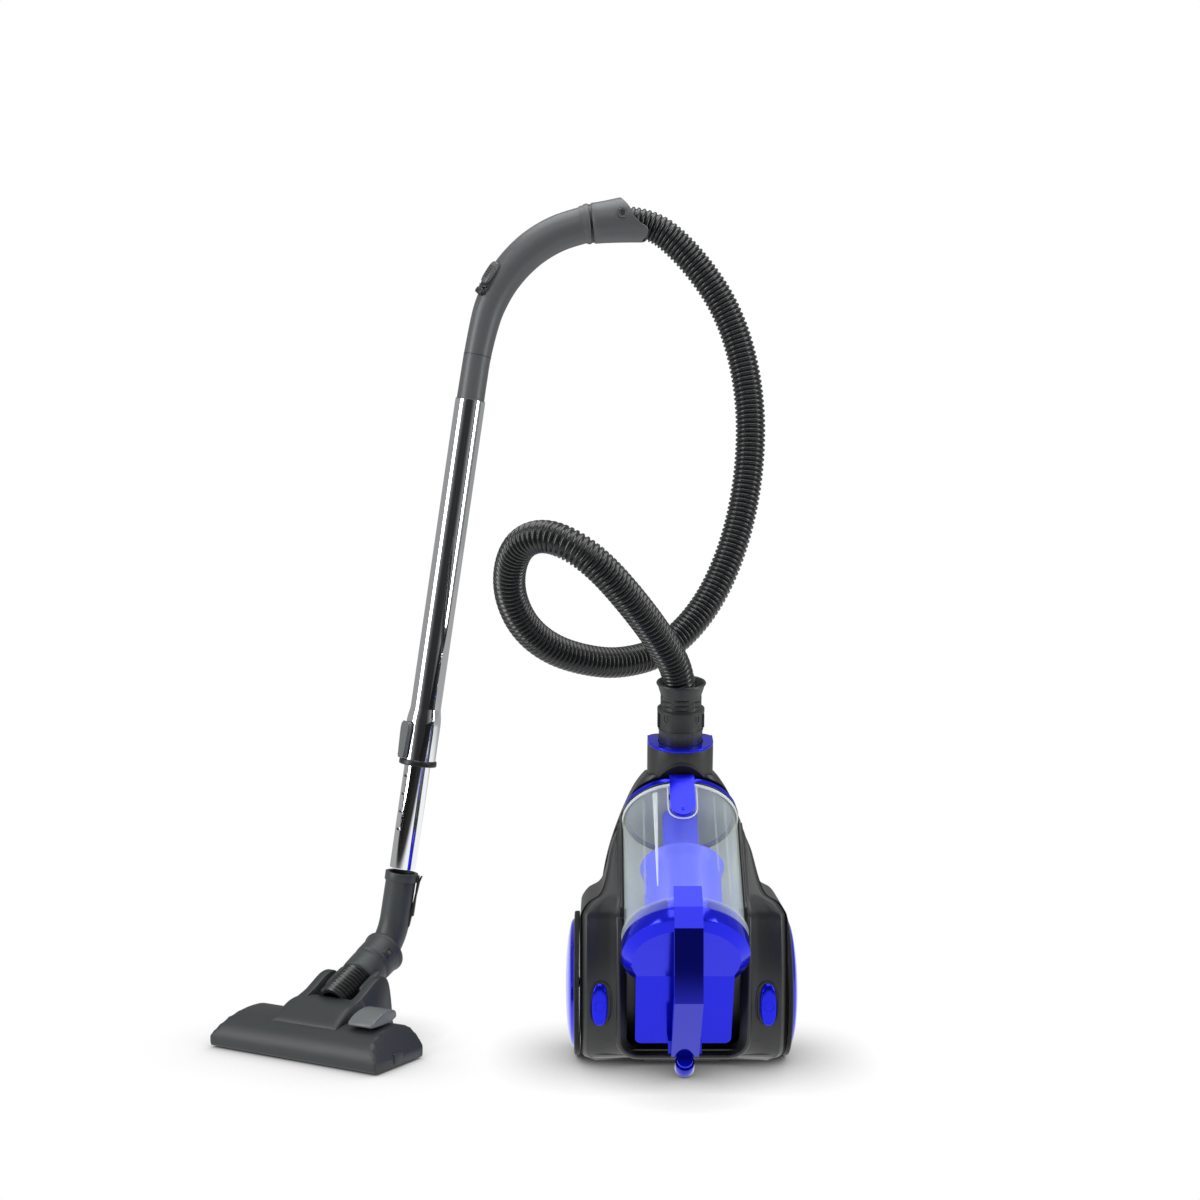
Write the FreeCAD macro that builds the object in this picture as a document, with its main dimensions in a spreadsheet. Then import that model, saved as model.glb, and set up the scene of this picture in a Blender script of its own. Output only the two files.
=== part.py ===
import FreeCAD, Part
import math
import os
import Sketcher

# Bagless canister vacuum cleaner, parked upright on its rear end, with its hose, telescopic
# wand and floor head. Millimetres, +Z up. X = 0 is the canister's mirror plane, Y = 0 holds the
# axle of the two large wheels and Z = 0 is the floor. The canister's top side in use faces -Y.

doc = FreeCAD.newDocument("CanisterVacuum")
sheet = doc.addObject("Spreadsheet::Sheet", "Sizes")
vec = FreeCAD.Vector

SIZES = [
    # canister housing
    ("wall", 2.8, "wall of the moulded housings"),
    ("run_gap", 0.35, "gap between pieces that move past each other"),
    ("seat_gap", 0.1, "gap between pieces that seat in each other"),
    ("hull_half", 101.0, "half width of the hull between the wheel pods"),
    ("hull_back", 78.0, "underside of the hull, from the axle"),
    ("hull_front", 90.0, "front of the hull, from the axle"),
    ("hull_split", 30.0, "parting plane of the two housings, from the axle"),
    ("hull_top", 352.0, "height where the dome of the hull ends"),
    ("pod_out", 124.0, "outer face of a wheel pod, from the mirror plane"),
    ("pod_in", 79.5, "inner face of a wheel pod, from the mirror plane"),
    ("pod_tall", 211.0, "height of a wheel pod at the hull"),
    ("pod_slope", 42.0, "fall of a pod's top towards its back"),
    ("pod_bend", 98.0, "start of a pod's sloping shoulder, from the mirror plane"),
    ("pod_drop", 11.0, "fall of the shoulder as far as the pod's outer edge"),
    ("pod_fall", 12.0, "fall of the shoulder over the pod's outer edge"),
    ("pod_front", 96.0, "front of a wheel pod, from the axle"),
    ("pod_back", 66.0, "back of a wheel pod, from the axle"),
    ("pod_round", 11.0, "rounding of a pod's outer edge"),
    ("tray_half", 77.0, "half width of the black recess behind the panel"),
    ("tray_deep", 16.0, "depth of the recess behind the panel"),
    ("tray_low", 22.0, "lower edge of the recess over the floor"),
    ("tray_wall", 2.5, "wall of the recess tray"),
    ("trough_rad", 74.1, "radius of the trough that holds the cup"),
    ("mouth_rad", 78.0, "radius of the trough's wide mouth"),
    ("mouth_long", 67.0, "end of the trough's wide mouth along the cup's axis"),
    ("trough_end", 226.5, "end of the trough along the cup's axis"),
    # wheels
    ("axle_tall", 89.3, "height of the wheel axle over the floor"),
    ("wheel_rad", 88.5, "outer radius of a large wheel"),
    ("wheel_in", 126.5, "inner face of a large wheel, from the mirror plane"),
    ("tyre_wide", 8.0, "width of the tyre"),
    ("tyre_thick", 5.0, "thickness of the tyre's tread"),
    ("hub_dome", 9.0, "height of the hub disc's dome over the tyre"),
    ("axle_rad", 6.0, "radius of a stub axle"),
    # caster, pedal buttons and socket
    ("caster_z", 322.0, "height of the caster's swivel axis"),
    ("caster_floor", 42.0, "floor of the caster's pit, from the axle"),
    ("caster_pit", 29.0, "radius of the caster's pit"),
    ("caster_pin", 4.0, "radius of the caster's swivel pin"),
    ("caster_rad", 14.0, "radius of the caster wheel"),
    ("caster_trail", 12.0, "trail of the caster wheel"),
    ("caster_wide", 14.0, "width of the caster wheel"),
    ("button_x", 102.0, "centre of a pedal button from the mirror plane"),
    ("button_z", 84.0, "height of a pedal button's centre"),
    ("button_wide", 22.0, "width of a pedal button"),
    ("button_tall", 52.0, "height of a pedal button"),
    ("button_face", 94.0, "face of a pedal button, from the axle"),
    ("button_push", 3.0, "travel of a pedal button"),
    ("socket_rad", 27.7, "bore of the port's socket"),
    ("inlet_offset", 36.0, "inlet hole of the lid, above the cup's axis"),
    ("duct_rad", 20.0, "outer radius of the inlet duct"),
    ("duct_bore", 17.5, "bore of the inlet duct"),
    ("port_open", 21.0, "straight sides of the port collar behind its axis"),
    ("motor_y", 12.0, "motor's axis behind the axle"),
    ("motor_z", 62.0, "height of the motor's axis"),
    ("can_rad", 50.0, "radius of the motor housing"),
    ("spout_rad", 20.0, "radius of the motor housing's intake"),
    ("reel_y", 10.0, "cord reel's axis behind the axle"),
    ("reel_z", 75.0, "height of the cord reel's axis"),
    ("reel_rad", 51.0, "radius of the cord reel"),
    # dust cup
    ("cup_tilt", 44.0, "tilt of the cup's axis over the floor, degrees"),
    ("cap_face_y", -143.0, "centre of the cap's face"),
    ("cap_face_z", 145.0, "centre of the cap's face"),
    ("cup_rad", 71.8, "outer radius of the clear cup"),
    ("cup_wall", 2.2, "wall of the clear cup"),
    ("cup_start", 25.2, "start of the clear cup along its axis"),
    ("lip_long", 39.0, "length of the cup's wider mouth"),
    ("lip_rad", 75.4, "outer radius of the cup's mouth"),
    ("cup_end", 212.0, "end of the clear cup along its axis"),
    ("ring_long", 10.0, "length of the coloured ring at the lid end"),
    ("gasket_long", 1.6, "length of the gasket between cup and ring"),
    ("cap_rad", 76.0, "outer radius of the cap"),
    ("cap_face_rad", 64.0, "radius of the cap's flat face"),
    ("cap_band", 16.4, "length of the cap's straight band"),
    ("cap_long", 24.8, "length of the cap along the axis"),
    ("column_rad", 22.5, "radius of the cyclone's column"),
    ("bell_rad", 47.0, "radius of the cyclone's shroud"),
    ("bell_lip_rad", 52.0, "radius of the shroud's skirt"),
    ("bell_start", 40.0, "start of the shroud along the axis"),
    ("bell_end", 136.0, "end of the shroud along the axis"),
    ("tongue_wide", 30.5, "width of the lid latch"),
    ("panel_half", 58.5, "half width of the cap's sloping panel"),
    ("panel_low_y", -66.0, "lower end of the panel's surface"),
    ("panel_low_z", 30.0, "lower end of the panel's surface"),
    ("panel_thick", 12.0, "thickness of the panel's box"),
    ("panel_lean", 31.2, "lean of the panel from upright, degrees"),
    ("panel_long", 111.0, "length of the panel's surface"),
    ("handle_wide", 33.0, "width of the carry handle"),
    ("handle_thick", 14.0, "thickness of the carry handle"),
    ("release_rad", 9.5, "radius of the handle's release button"),
    ("handle_front", -208.0, "front of the carry handle"),
    ("handle_low_y", -118.0, "lower end of the carry handle"),
    ("handle_low_z", 27.5, "lower end of the carry handle"),
    ("handle_root", 43.7, "end of the handle's root along the cup's axis"),
    ("release_y", -112.0, "centre of the handle's release button"),
    ("release_z", 18.6, "centre of the handle's release button"),
    # hose port, cuff and hose
    ("port_lean", 14.0, "lean of the port's axis from upright, degrees"),
    ("port_y", -5.0, "port's axis at its rim"),
    ("port_z", 391.0, "port's axis at its rim"),
    ("port_half", 41.0, "half width of the port's housing"),
    ("port_depth", 36.0, "port's housing behind its axis"),
    ("port_deep", 92.0, "length of the port's housing below its rim"),
    ("collar_tall", 3.0, "thickness of the coloured port collar"),
    ("cuff_rad", 27.4, "outer radius of the cuff's sleeve"),
    ("cuff_deep", 34.0, "length of the cuff's sleeve in the port"),
    ("cuff_tall", 79.0, "height of the cuff over the port's rim"),
    ("cuff_flare", 30.2, "radius of the cuff's flared end"),
    ("cuff_slot_rad", 25.6, "radius of the cuff's slotted neck"),
    ("tab_low", 22.0, "lower end of a release tab over the rim"),
    ("tab_wide", 12.0, "width of a release tab"),
    ("tab_tall", 17.0, "height of a release tab"),
    ("tab_push", 1.5, "travel of a release tab"),
    ("hose_rad", 20.0, "outer radius of the hose"),
    ("hose_bore", 16.0, "inner radius of the hose"),
    ("hose_seat", 40.0, "height of the hose's seat in the cuff over the rim"),
    # wand
    ("wand_x", -366.6, "wand's axis at the elbow's mouth"),
    ("wand_y", 139.0, "wand's axis, from the wheel axle"),
    ("wand_z", 205.2, "height of the elbow's mouth"),
    ("wand_lean", 8.25, "lean of the wand from upright, degrees"),
    ("outer_rad", 19.0, "radius of the upper tube"),
    ("inner_rad", 17.4, "radius of the lower tube"),
    ("tube_wall", 1.1, "wall of the steel tubes"),
    ("outer_start", 152.0, "lower end of the upper tube, from the elbow's mouth"),
    ("outer_end", 688.0, "upper end of the upper tube"),
    ("inner_end", 470.0, "upper end of the lower tube"),
    ("inner_start", -42.0, "lower end of the lower tube, in the elbow"),
    ("lock_flare", 21.4, "radius of the upper tube's wide end"),
    ("grip_start", 636.0, "lower end of the grip"),
    ("grip_rad", 20.4, "outer radius of the grip at its lower end"),
    ("grip_mid_rad", 22.6, "outer radius of the grip's bends"),
    ("grip_bore", 18.6, "bore of the grip"),
    ("grip_line", 62.0, "straight run of the grip past the upper tube's mouth"),
    ("grip_bend", 235.0, "radius of the grip's first bend"),
    ("grip_bend_two", 195.0, "radius of the grip's second bend"),
    ("rise_middle", 54.55, "rise of the grip between its bends, degrees"),
    ("rise_end", 13.5, "rise of the grip at its end, degrees"),
    ("end_rise", 6.0, "rise of the hose's end collar, degrees"),
    ("collar_len", 62.0, "length of the hose's end collar"),
    ("collar_start_rad", 27.0, "radius of the end collar at the grip"),
    ("collar_end_rad", 30.4, "radius of the end collar at the hose"),
    # floor head
    ("head_x", -459.7, "centre of the sole"),
    ("head_y", 2.6, "centre of the sole"),
    ("head_yaw", -30.0, "turn of the floor head, degrees"),
    ("head_half", 132.0, "half width of the floor head"),
    ("head_deep", 96.0, "depth of the sole"),
    ("head_tall", 44.0, "height of the floor head's cover"),
    ("pivot_y", 66.0, "neck's pivot behind the sole's centre"),
    ("pivot_z", 68.0, "height of the neck's pivot"),
    ("neck_rise", 24.0, "rise of the neck over the floor, degrees"),
    ("neck_rim", 84.0, "collar's rim from the pivot"),
    ("elbow_corner", 100.0, "corner of the elbow from the pivot"),
    ("elbow_bend", 62.0, "bend radius of the elbow"),
    ("elbow_rad", 20.2, "outer radius of the elbow"),
    ("neck_bore", 23.0, "bore of the neck collar round the elbow"),
    ("neck_seat", 40.0, "seat of the elbow in the neck collar, from the pivot"),
    ("pedal_y", 6.0, "pedal's axis behind the sole's centre"),
    ("pedal_z", 52.0, "height of the pedal's axis"),
]

# Corners of the hose's route between the cuff and the end collar.
ROUTE = [
    (-26, -62, 520), (-60, -98, 565), (-99, -122, 609), (-135, -131, 636), (-169, -118, 648),
    (-197, -93, 639), (-212, -63, 611), (-213, -35, 574), (-196, -8, 535), (-163, 17, 507),
    (-119, 43, 492), (-74, 72, 487), (-18, 112, 500), (40, 138, 556), (80, 152, 640),
    (102, 157, 742), (103, 157, 850), (76, 153, 955), (20, 146, 1035),
]
for number, place in enumerate(ROUTE, start=1):
    for letter, value in zip("xyz", place):
        SIZES.append(("route%d%s" % (number, letter), value, "corner %d of the hose's route" % number))


class Size:
    """A number together with the sheet expression that gives it."""

    def __init__(self, value, text=None):
        self.value = float(value)
        self.text = repr(float(value)) if text is None else text

    def _join(self, other, sign, value):
        return Size(value, "(%s %s %s)" % (self.text, sign, as_size(other).text))

    def __add__(self, other):
        return self._join(other, "+", self.value + as_size(other).value)

    def __sub__(self, other):
        return self._join(other, "-", self.value - as_size(other).value)

    def __mul__(self, other):
        return self._join(other, "*", self.value * as_size(other).value)

    def __truediv__(self, other):
        return self._join(other, "/", self.value / as_size(other).value)

    def __neg__(self):
        return Size(-self.value, "(0 - %s)" % self.text)

    def __radd__(self, other):
        return as_size(other) + self

    def __rsub__(self, other):
        return as_size(other) - self

    def __rmul__(self, other):
        return as_size(other) * self


def as_size(number):
    return number if isinstance(number, Size) else Size(number)


def cosine(angle):
    return Size(math.cos(math.radians(angle.value)), "cos(%s)" % angle.text)


def sine(angle):
    return Size(math.sin(math.radians(angle.value)), "sin(%s)" % angle.text)


def tangent(angle):
    return Size(math.tan(math.radians(angle.value)), "tan(%s)" % angle.text)


class Table:
    """Writes the driving dimensions into the sheet and hands them out by name."""

    def __init__(self, rows):
        for number, (alias, value, note) in enumerate(rows, start=1):
            sheet.set("A%d" % number, alias)
            sheet.set("B%d" % number, repr(value))
            sheet.set("C%d" % number, note)
            sheet.setAlias("B%d" % number, alias)
            setattr(self, alias, Size(value, "Sizes." + alias))


S = Table(SIZES)
doc.recompute()


class Frame:
    """A local frame: its origin in a parent frame, and a turn about one of the main axes."""

    def __init__(self, parent=None, at=(0, 0, 0), axis="x", angle=0):
        self.parent = parent
        self.at = [as_size(value) for value in at]
        self.axis = axis
        self.angle = as_size(angle)

    def point(self, x=0, y=0, z=0):
        """A local point in the row's frame."""
        x, y, z = as_size(x), as_size(y), as_size(z)
        if self.angle.value:
            c, s = cosine(self.angle), sine(self.angle)
            if self.axis == "x":
                x, y, z = x, y * c - z * s, y * s + z * c
            elif self.axis == "y":
                x, y, z = x * c + z * s, y, z * c - x * s
            else:
                x, y, z = x * c - y * s, x * s + y * c, z
        here = [base + move for base, move in zip(self.at, (x, y, z))]
        return self.parent.point(*here) if self.parent else here

    def rotation(self):
        axis = {"x": "1; 0; 0", "y": "0; 1; 0", "z": "0; 0; 1"}[self.axis]
        text = "rotation(vector(%s); %s)" % (axis, self.angle.text)
        return self.parent.rotation() + " * " + text if self.parent else text

    def seat(self, obj, x=0, y=0, z=0):
        """Puts an object's own origin at a local point, turned with the frame."""
        base = "; ".join(size.text for size in self.point(x, y, z))
        obj.setExpression("Placement", "placement(vector(%s); %s)" % (base, self.rotation()))
        return obj

    def vector(self, x=0, y=0, z=0):
        return vec(*[size.value for size in self.point(x, y, z)])

    def direction(self, x, y, z):
        return self.vector(x, y, z) - self.vector()


ROW = Frame()
CUP = Frame(None, (0, S.cap_face_y, S.cap_face_z), "x", S.cup_tilt - 90)
PANEL = Frame(None, (0, S.panel_low_y, S.panel_low_z), "x", S.panel_lean)
PORT = Frame(None, (0, S.port_y, S.port_z), "x", S.port_lean)
WAND = Frame(None, (S.wand_x, S.wand_y, S.wand_z), "y", S.wand_lean)
HEAD = Frame(None, (S.head_x, S.head_y, 0), "z", S.head_yaw)
NECK = Frame(HEAD, (0, S.pivot_y, S.pivot_z), "x", S.neck_rise - 90)


# ---- operations ----------------------------------------------------------------------------

def new_body(name):
    return doc.addObject("PartDesign::Body", name)


def circle(x, y, radius):
    return ("circle", as_size(x), as_size(y), as_size(radius))


def add_circle(sketch, item):
    centre = vec(item[1].value, item[2].value, 0)
    index = sketch.addGeometry(Part.Circle(centre, vec(0, 0, 1), item[3].value))
    bind(sketch, Sketcher.Constraint("DistanceX", index, 3, item[1].value), item[1])
    bind(sketch, Sketcher.Constraint("DistanceY", index, 3, item[2].value), item[2])
    bind(sketch, Sketcher.Constraint("Radius", index, item[3].value), item[3])


def bind(sketch, constraint, size):
    number = sketch.addConstraint(constraint)
    sketch.setExpression("Constraints[%d]" % number, size.text)


def arc_between(start, end, radius):
    """The shorter arc; a positive radius turns left on the way from start to end."""
    middle = (start + end) * 0.5
    chord = end - start
    rise = math.sqrt(max(radius * radius - chord.Length * chord.Length / 4, 1e-9))
    side = vec(-chord.y, chord.x, 0) / chord.Length
    centre = middle + side * (rise if radius > 0 else -rise)
    first, last = (start, end) if radius > 0 else (end, start)
    angles = [math.atan2(p.y - centre.y, p.x - centre.x) for p in (first, last)]
    return Part.ArcOfCircle(Part.Circle(centre, vec(0, 0, 1), abs(radius)), angles[0], angles[1])


def add_outline(sketch, outline):
    """A closed run of corners (x, y), with an arc's radius as a third item where one starts."""
    corners = [vec(as_size(c[0]).value, as_size(c[1]).value, 0) for c in outline]
    count = len(corners)
    ends = []
    for number, corner in enumerate(outline):
        start, end = corners[number], corners[(number + 1) % count]
        if len(corner) == 3:
            radius = as_size(corner[2])
            index = sketch.addGeometry(arc_between(start, end, radius.value))
            size = radius if radius.value > 0 else -radius
            bind(sketch, Sketcher.Constraint("Radius", index, size.value), size)
            ends.append((index, 1, 2) if radius.value > 0 else (index, 2, 1))
        else:
            index = sketch.addGeometry(Part.LineSegment(start, end))
            ends.append((index, 1, 2))
    for number in range(count):
        here, after = ends[number], ends[(number + 1) % count]
        sketch.addConstraint(Sketcher.Constraint("Coincident", here[0], here[2], after[0], after[1]))
    for number, corner in enumerate(outline):
        index, first = ends[number][0], ends[number][1]
        for kind, value in (("DistanceX", as_size(corner[0])), ("DistanceY", as_size(corner[1]))):
            bind(sketch, Sketcher.Constraint(kind, index, first, value.value), value)


def draw(body, name, role, outlines, lift=0):
    """A sketch on one of the body's own planes, lifted along the plane's normal."""
    sketch = body.newObject("Sketcher::SketchObject", name)
    plane = [item for item in body.Origin.OriginFeatures if item.Role == role][0]
    sketch.AttachmentSupport = [(plane, "")]
    sketch.MapMode = "FlatFace"
    sketch.setExpression(".AttachmentOffset.Base.z", as_size(lift).text)
    for outline in outlines:
        if outline[0] == "circle":
            add_circle(sketch, outline)
        else:
            add_outline(sketch, outline)
    return sketch


def turned(name, outline, frame=ROW, at=(0, 0, 0)):
    """A piece turned about its own Z axis from an outline of (radius, height)."""
    body = new_body(name)
    sketch = draw(body, name + "Profile", "XZ_Plane", [outline])
    turn = body.newObject("PartDesign::Revolution", name + "Turn")
    turn.Profile = (sketch, [""])
    turn.ReferenceAxis = (sketch, ["V_Axis"])
    turn.Angle = 360
    return frame.seat(body, *at)


def turned_x(name, outline, x=0, y=0, z=0):
    """A piece turned about an axis along X from an outline of (x, radius)."""
    body = new_body(name)
    sketch = draw(body, name + "Profile", "XY_Plane", [outline])
    turn = body.newObject("PartDesign::Revolution", name + "Turn")
    turn.Profile = (sketch, [""])
    turn.ReferenceAxis = (sketch, ["H_Axis"])
    turn.Angle = 360
    return ROW.seat(body, x, y, z)


def padded(name, role, outlines, length, frame=ROW, at=(0, 0, 0), lift=0, both=False):
    body = new_body(name)
    sketch = draw(body, name + "Outline", role, outlines, lift)
    pad = body.newObject("PartDesign::Pad", name + "Pad")
    pad.Profile = (sketch, [""])
    pad.setExpression("Length", as_size(length).text)
    if both:
        pad.SideType = "Symmetric"
    return frame.seat(body, *at)


def box(name, low, size, frame=ROW):
    """A block from its low local corner and its three sizes."""
    block = doc.addObject("Part::Box", name)
    for prop, value in zip(("Length", "Width", "Height"), size):
        block.setExpression(prop, as_size(value).text)
    return frame.seat(block, *low)


def rod(name, radius, length, frame=ROW, at=(0, 0, 0)):
    """A cylinder along the frame's own Z axis."""
    item = doc.addObject("Part::Cylinder", name)
    item.setExpression("Radius", as_size(radius).text)
    item.setExpression("Height", as_size(length).text)
    return frame.seat(item, *at)


def rod_along(name, axis, radius, length, x, y, z):
    """A cylinder along X or Y that starts at a point."""
    item = doc.addObject("Part::Cylinder", name)
    item.setExpression("Radius", as_size(radius).text)
    item.setExpression("Height", as_size(length).text)
    turn = ("y", 90) if axis == "x" else ("x", -90)
    frame = Frame(None, (x, y, z), *turn)
    return frame.seat(item)


def cut(name, base, *tools):
    result = base
    for number, tool in enumerate(tools, start=1):
        last = number == len(tools)
        step = doc.addObject("Part::Cut", name if last else "%sStep%d" % (name, number))
        step.Base = result
        step.Tool = tool
        result = step
    return result


def fuse(name, *shapes):
    result = doc.addObject("Part::MultiFuse", name)
    result.Shapes = list(shapes)
    return result


def common(name, first, second):
    result = doc.addObject("Part::Common", name)
    result.Base = first
    result.Tool = second
    return result


def mirrored(name, source):
    result = doc.addObject("Part::Mirroring", name)
    result.Source = source
    result.Base = vec(0, 0, 0)
    result.Normal = vec(1, 0, 0)
    return result


def moved_copy(name, source):
    """The same shape once more, as its own object for a second boolean."""
    result = doc.addObject("App::Link", name)
    result.setLink(source)
    return result


def shape_part(name, shape):
    item = doc.addObject("Part::Feature", name)
    item.Shape = shape
    return item


def rounded_box(half_x, low_y, high_y, radius):
    """Corners of a rectangle with rounded corners, counter-clockwise."""
    left, right = -half_x, half_x
    return [
        (left + radius, low_y),
        (right - radius, low_y, radius),
        (right, low_y + radius),
        (right, high_y - radius, radius),
        (right - radius, high_y),
        (left + radius, high_y, radius),
        (left, high_y - radius),
        (left, low_y + radius, radius),
    ]


def slot_outline(x, y, half_wide, half_tall):
    """An upright oval with round ends."""
    left, right = x - half_wide, x + half_wide
    low, high = y - (half_tall - half_wide), y + (half_tall - half_wide)
    return [
        (left, low, half_wide),
        (x, low - half_wide, half_wide),
        (right, low),
        (right, high, half_wide),
        (x, high + half_wide, half_wide),
        (left, high),
    ]


# ---- canister housing ------------------------------------------------------------------------

def stacked(name, sections, inset=0):
    """A smooth body through rounded rectangles given as (height, half width, front, back, round)."""
    body = new_body(name)
    rings = []
    for number, (height, half, front, back, corner) in enumerate(sections):
        low, high = as_size(front) + inset, as_size(back) - inset
        outline = rounded_box(as_size(half) - inset, low, high, as_size(corner) - inset)
        rings.append(draw(body, "%sRing%d" % (name, number), "XY_Plane", [outline], height))
    loft = body.newObject("PartDesign::AdditiveLoft", name + "Loft")
    loft.Profile = (rings[0], [""])
    loft.Sections = [(ring, [""]) for ring in rings[1:]]
    loft.Ruled = False
    return body


def pod_side(inset, fall=0):
    """Side outline of a wheel pod in (Y, Z); its top is lower by fall."""
    front, back, top = -S.pod_front + inset, S.pod_back - inset, S.pod_tall - inset - fall
    low = as_size(2) + inset
    return [
        (front + 66, low),
        (back - 6, low),
        (back, low + 20),
        (back, top - S.pod_slope - 20),
        (back - 12, top - S.pod_slope),
        (front + 34, top, 30),
        (front + 12, top - 18, 300),
        (front, top - 86, 300),
        (front + 10, low + 50, 90),
    ]


def pod(name, side, inset):
    """A wheel pod on one side, from its inner face over its sloping shoulder to its outer face."""
    body = new_body(name)
    start = S.pod_in + inset
    bend = S.pod_out - S.pod_round
    sketch = draw(body, name + "Side", "YZ_Plane", [pod_side(inset)], start)
    pad = body.newObject("PartDesign::Pad", name + "Pad")
    pad.Profile = (sketch, [""])
    pad.setExpression("Length", (S.pod_bend - start).text)
    rings = [
        draw(body, name + "Full", "YZ_Plane", [pod_side(inset)], S.pod_bend),
        draw(body, name + "Wide", "YZ_Plane", [pod_side(inset, S.pod_drop)], bend),
        draw(body, name + "Slim", "YZ_Plane", [pod_side(as_size(inset) + 7, S.pod_drop + S.pod_fall - 7)],
             S.pod_out - inset)]
    edge = body.newObject("PartDesign::AdditiveLoft", name + "Edge")
    edge.Profile = (rings[0], [""])
    edge.Sections = [(ring, [""]) for ring in rings[1:]]
    edge.Ruled = True
    return body if side > 0 else mirrored(name + "Mirror", body)


hull_rings = [
    (0, S.hull_half - 13, -46, 58, 24),
    (25, S.hull_half - 2, -66, S.hull_back - 4, 28),
    (90, S.hull_half, -S.hull_front + 4, S.hull_back, 30),
    (150, S.hull_half, -S.hull_front, S.hull_back, 30),
    (205, S.hull_half - 2, -S.hull_front + 4, S.hull_back, 30),
    (262, S.hull_half - 14, -60, S.hull_back, 28),
    (312, S.hull_half - 33, -30, S.hull_back - 6, 24),
    (S.hull_top, S.hull_half - 57, -26, S.hull_back - 24, 20),
]
inner_rings = [list(ring) for ring in hull_rings]
inner_rings[0][0] = S.wall
inner_rings[-1][0] = S.hull_top - S.wall


def port_outline(inset, back):
    """D-shaped plan round the port's axis: a round front and straight sides."""
    half = S.port_half - inset
    return [
        (-half, 0, half),
        (0, -half, half),
        (half, 0),
        (half, back - 14, 14),
        (half - 14, back),
        (-half + 14, back, 14),
        (-half, back - 14),
    ]


neck_solid = padded("NeckSolid", "XY_Plane", [port_outline(0, S.port_depth)], S.port_deep, PORT,
                    (0, 0, -S.port_deep))
neck_space = padded("NeckSpace", "XY_Plane", [port_outline(S.wall, S.port_depth - S.wall)],
                    S.port_deep - S.wall, PORT, (0, 0, -S.port_deep))
hull_solid = stacked("HullSolid", hull_rings)
hull_space = stacked("HullSpace", inner_rings, S.wall)
outer_solid = fuse("OuterSolid", hull_solid, neck_solid, pod("PodRight", 1, 0), pod("PodLeft", -1, 0))
inner_space = fuse("InnerSpace", hull_space, neck_space, pod("PodSpaceRight", 1, S.wall),
                   pod("PodSpaceLeft", -1, S.wall))
cradle_limit = fuse("CradleLimit", stacked("LimitSolid", hull_rings),
                    padded("LimitNeck", "XY_Plane", [port_outline(0, S.port_depth)], S.port_deep,
                           PORT, (0, 0, -S.port_deep)))


def cup_room(name, grow):
    """The room for cup, cap and panel; grow adds the tray's wall."""
    half = S.tray_half + grow
    trough = rod(name + "Trough", S.trough_rad + grow, S.trough_end + 60 + grow, CUP, (0, 0, -60))
    mouth = rod(name + "Mouth", S.mouth_rad + grow, S.mouth_long + 60 + grow, CUP, (0, 0, -60))
    front = box(name + "Front", (-150, -200, -60), (300, 200, S.trough_end + 60 + grow), CUP)
    slab = box(name + "Slab", (-half, -130, -60), (half * 2, S.panel_thick + S.tray_deep + grow + 130,
                                                   S.panel_long + 60), PANEL)
    above = box(name + "Above", (-half, -260, S.tray_low - grow), (half * 2, 330, 160))
    return fuse(name, trough, mouth, front, common(name + "Tray", slab, above))


cup_hole = cup_room("CupHole", S.tray_wall)
grille_hole = box("GrilleHole", (-46, -40, -1), (92, 26, 12))
caster_hole = rod_along("CasterHole", "y", S.caster_pit, 60, 0, S.caster_floor, S.caster_z)
caster_boss = common(
    "CasterBoss",
    rod_along("CasterBossRod", "y", S.caster_pit + S.wall, 60, 0, S.caster_floor - S.wall, S.caster_z),
    stacked("CasterLimit", hull_rings),
)
pin_boss = rod_along("PinBoss", "y", 9, 12, 0, S.caster_floor - 12, S.caster_z)
pin_hole = rod_along("PinHole", "y", S.caster_pin + S.run_gap, 40, 0, S.caster_floor - 20, S.caster_z)
port_hole = rod("PortHole", S.socket_rad + 2.8, 40, PORT, (0, 0, -30))
axle_holes = rod_along("AxleHoles", "x", S.axle_rad, 300, -150, 0, S.axle_tall)
cord_hole = rod_along("CordHole", "y", 9, 40, 60, 60, 40)


def oval(name, side, grow, start, length):
    """An upright oval prism along Y round a pedal button's axis."""
    outline = slot_outline(side * S.button_x, S.button_z, S.button_wide / 2 + grow,
                           S.button_tall / 2 + grow)
    body = new_body(name)
    sketch = draw(body, name + "Oval", "XZ_Plane", [outline])
    pad = body.newObject("PartDesign::Pad", name + "Pad")
    pad.Profile = (sketch, [""])
    pad.Reversed = True
    pad.setExpression("Length", as_size(length).text)
    return ROW.seat(body, 0, start, 0)


deck = common(
    "Deck", moved_copy("OuterAgain", outer_solid),
    box("DeckSlab", (-150, 0, -60), (300, S.wall, S.trough_end + 60), CUP))
shell_all = cut(
    "ShellAll",
    fuse("ShellBlank", cut("ShellHollow", outer_solid, inner_space), deck, caster_boss, pin_boss),
    cup_hole, grille_hole, caster_hole, pin_hole, port_hole, axle_holes, cord_hole,
    oval("OvalRight", 1, 2.5, -110, 40), oval("OvalLeft", -1, 2.5, -110, 40),
)
base_region = fuse(
    "BaseRegion", box("BackHalf", (-200, S.hull_split, -5), (400, 200, 450)),
    box("NoseRegion", (-150, -200, S.trough_end - 4), (300, 400, 250), CUP))
top_shell = cut("top_shell", shell_all, base_region)
base_shell = common("base_shell", moved_copy("ShellAgain", shell_all),
                    moved_copy("RegionAgain", base_region))


# ---- the rest of the canister ------------------------------------------------------------------

cradle_all = cut("CradleAll", moved_copy("CupHoleAgain", cup_hole), cup_room("CupSpace", 0))
lid_u = S.inlet_offset


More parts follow.
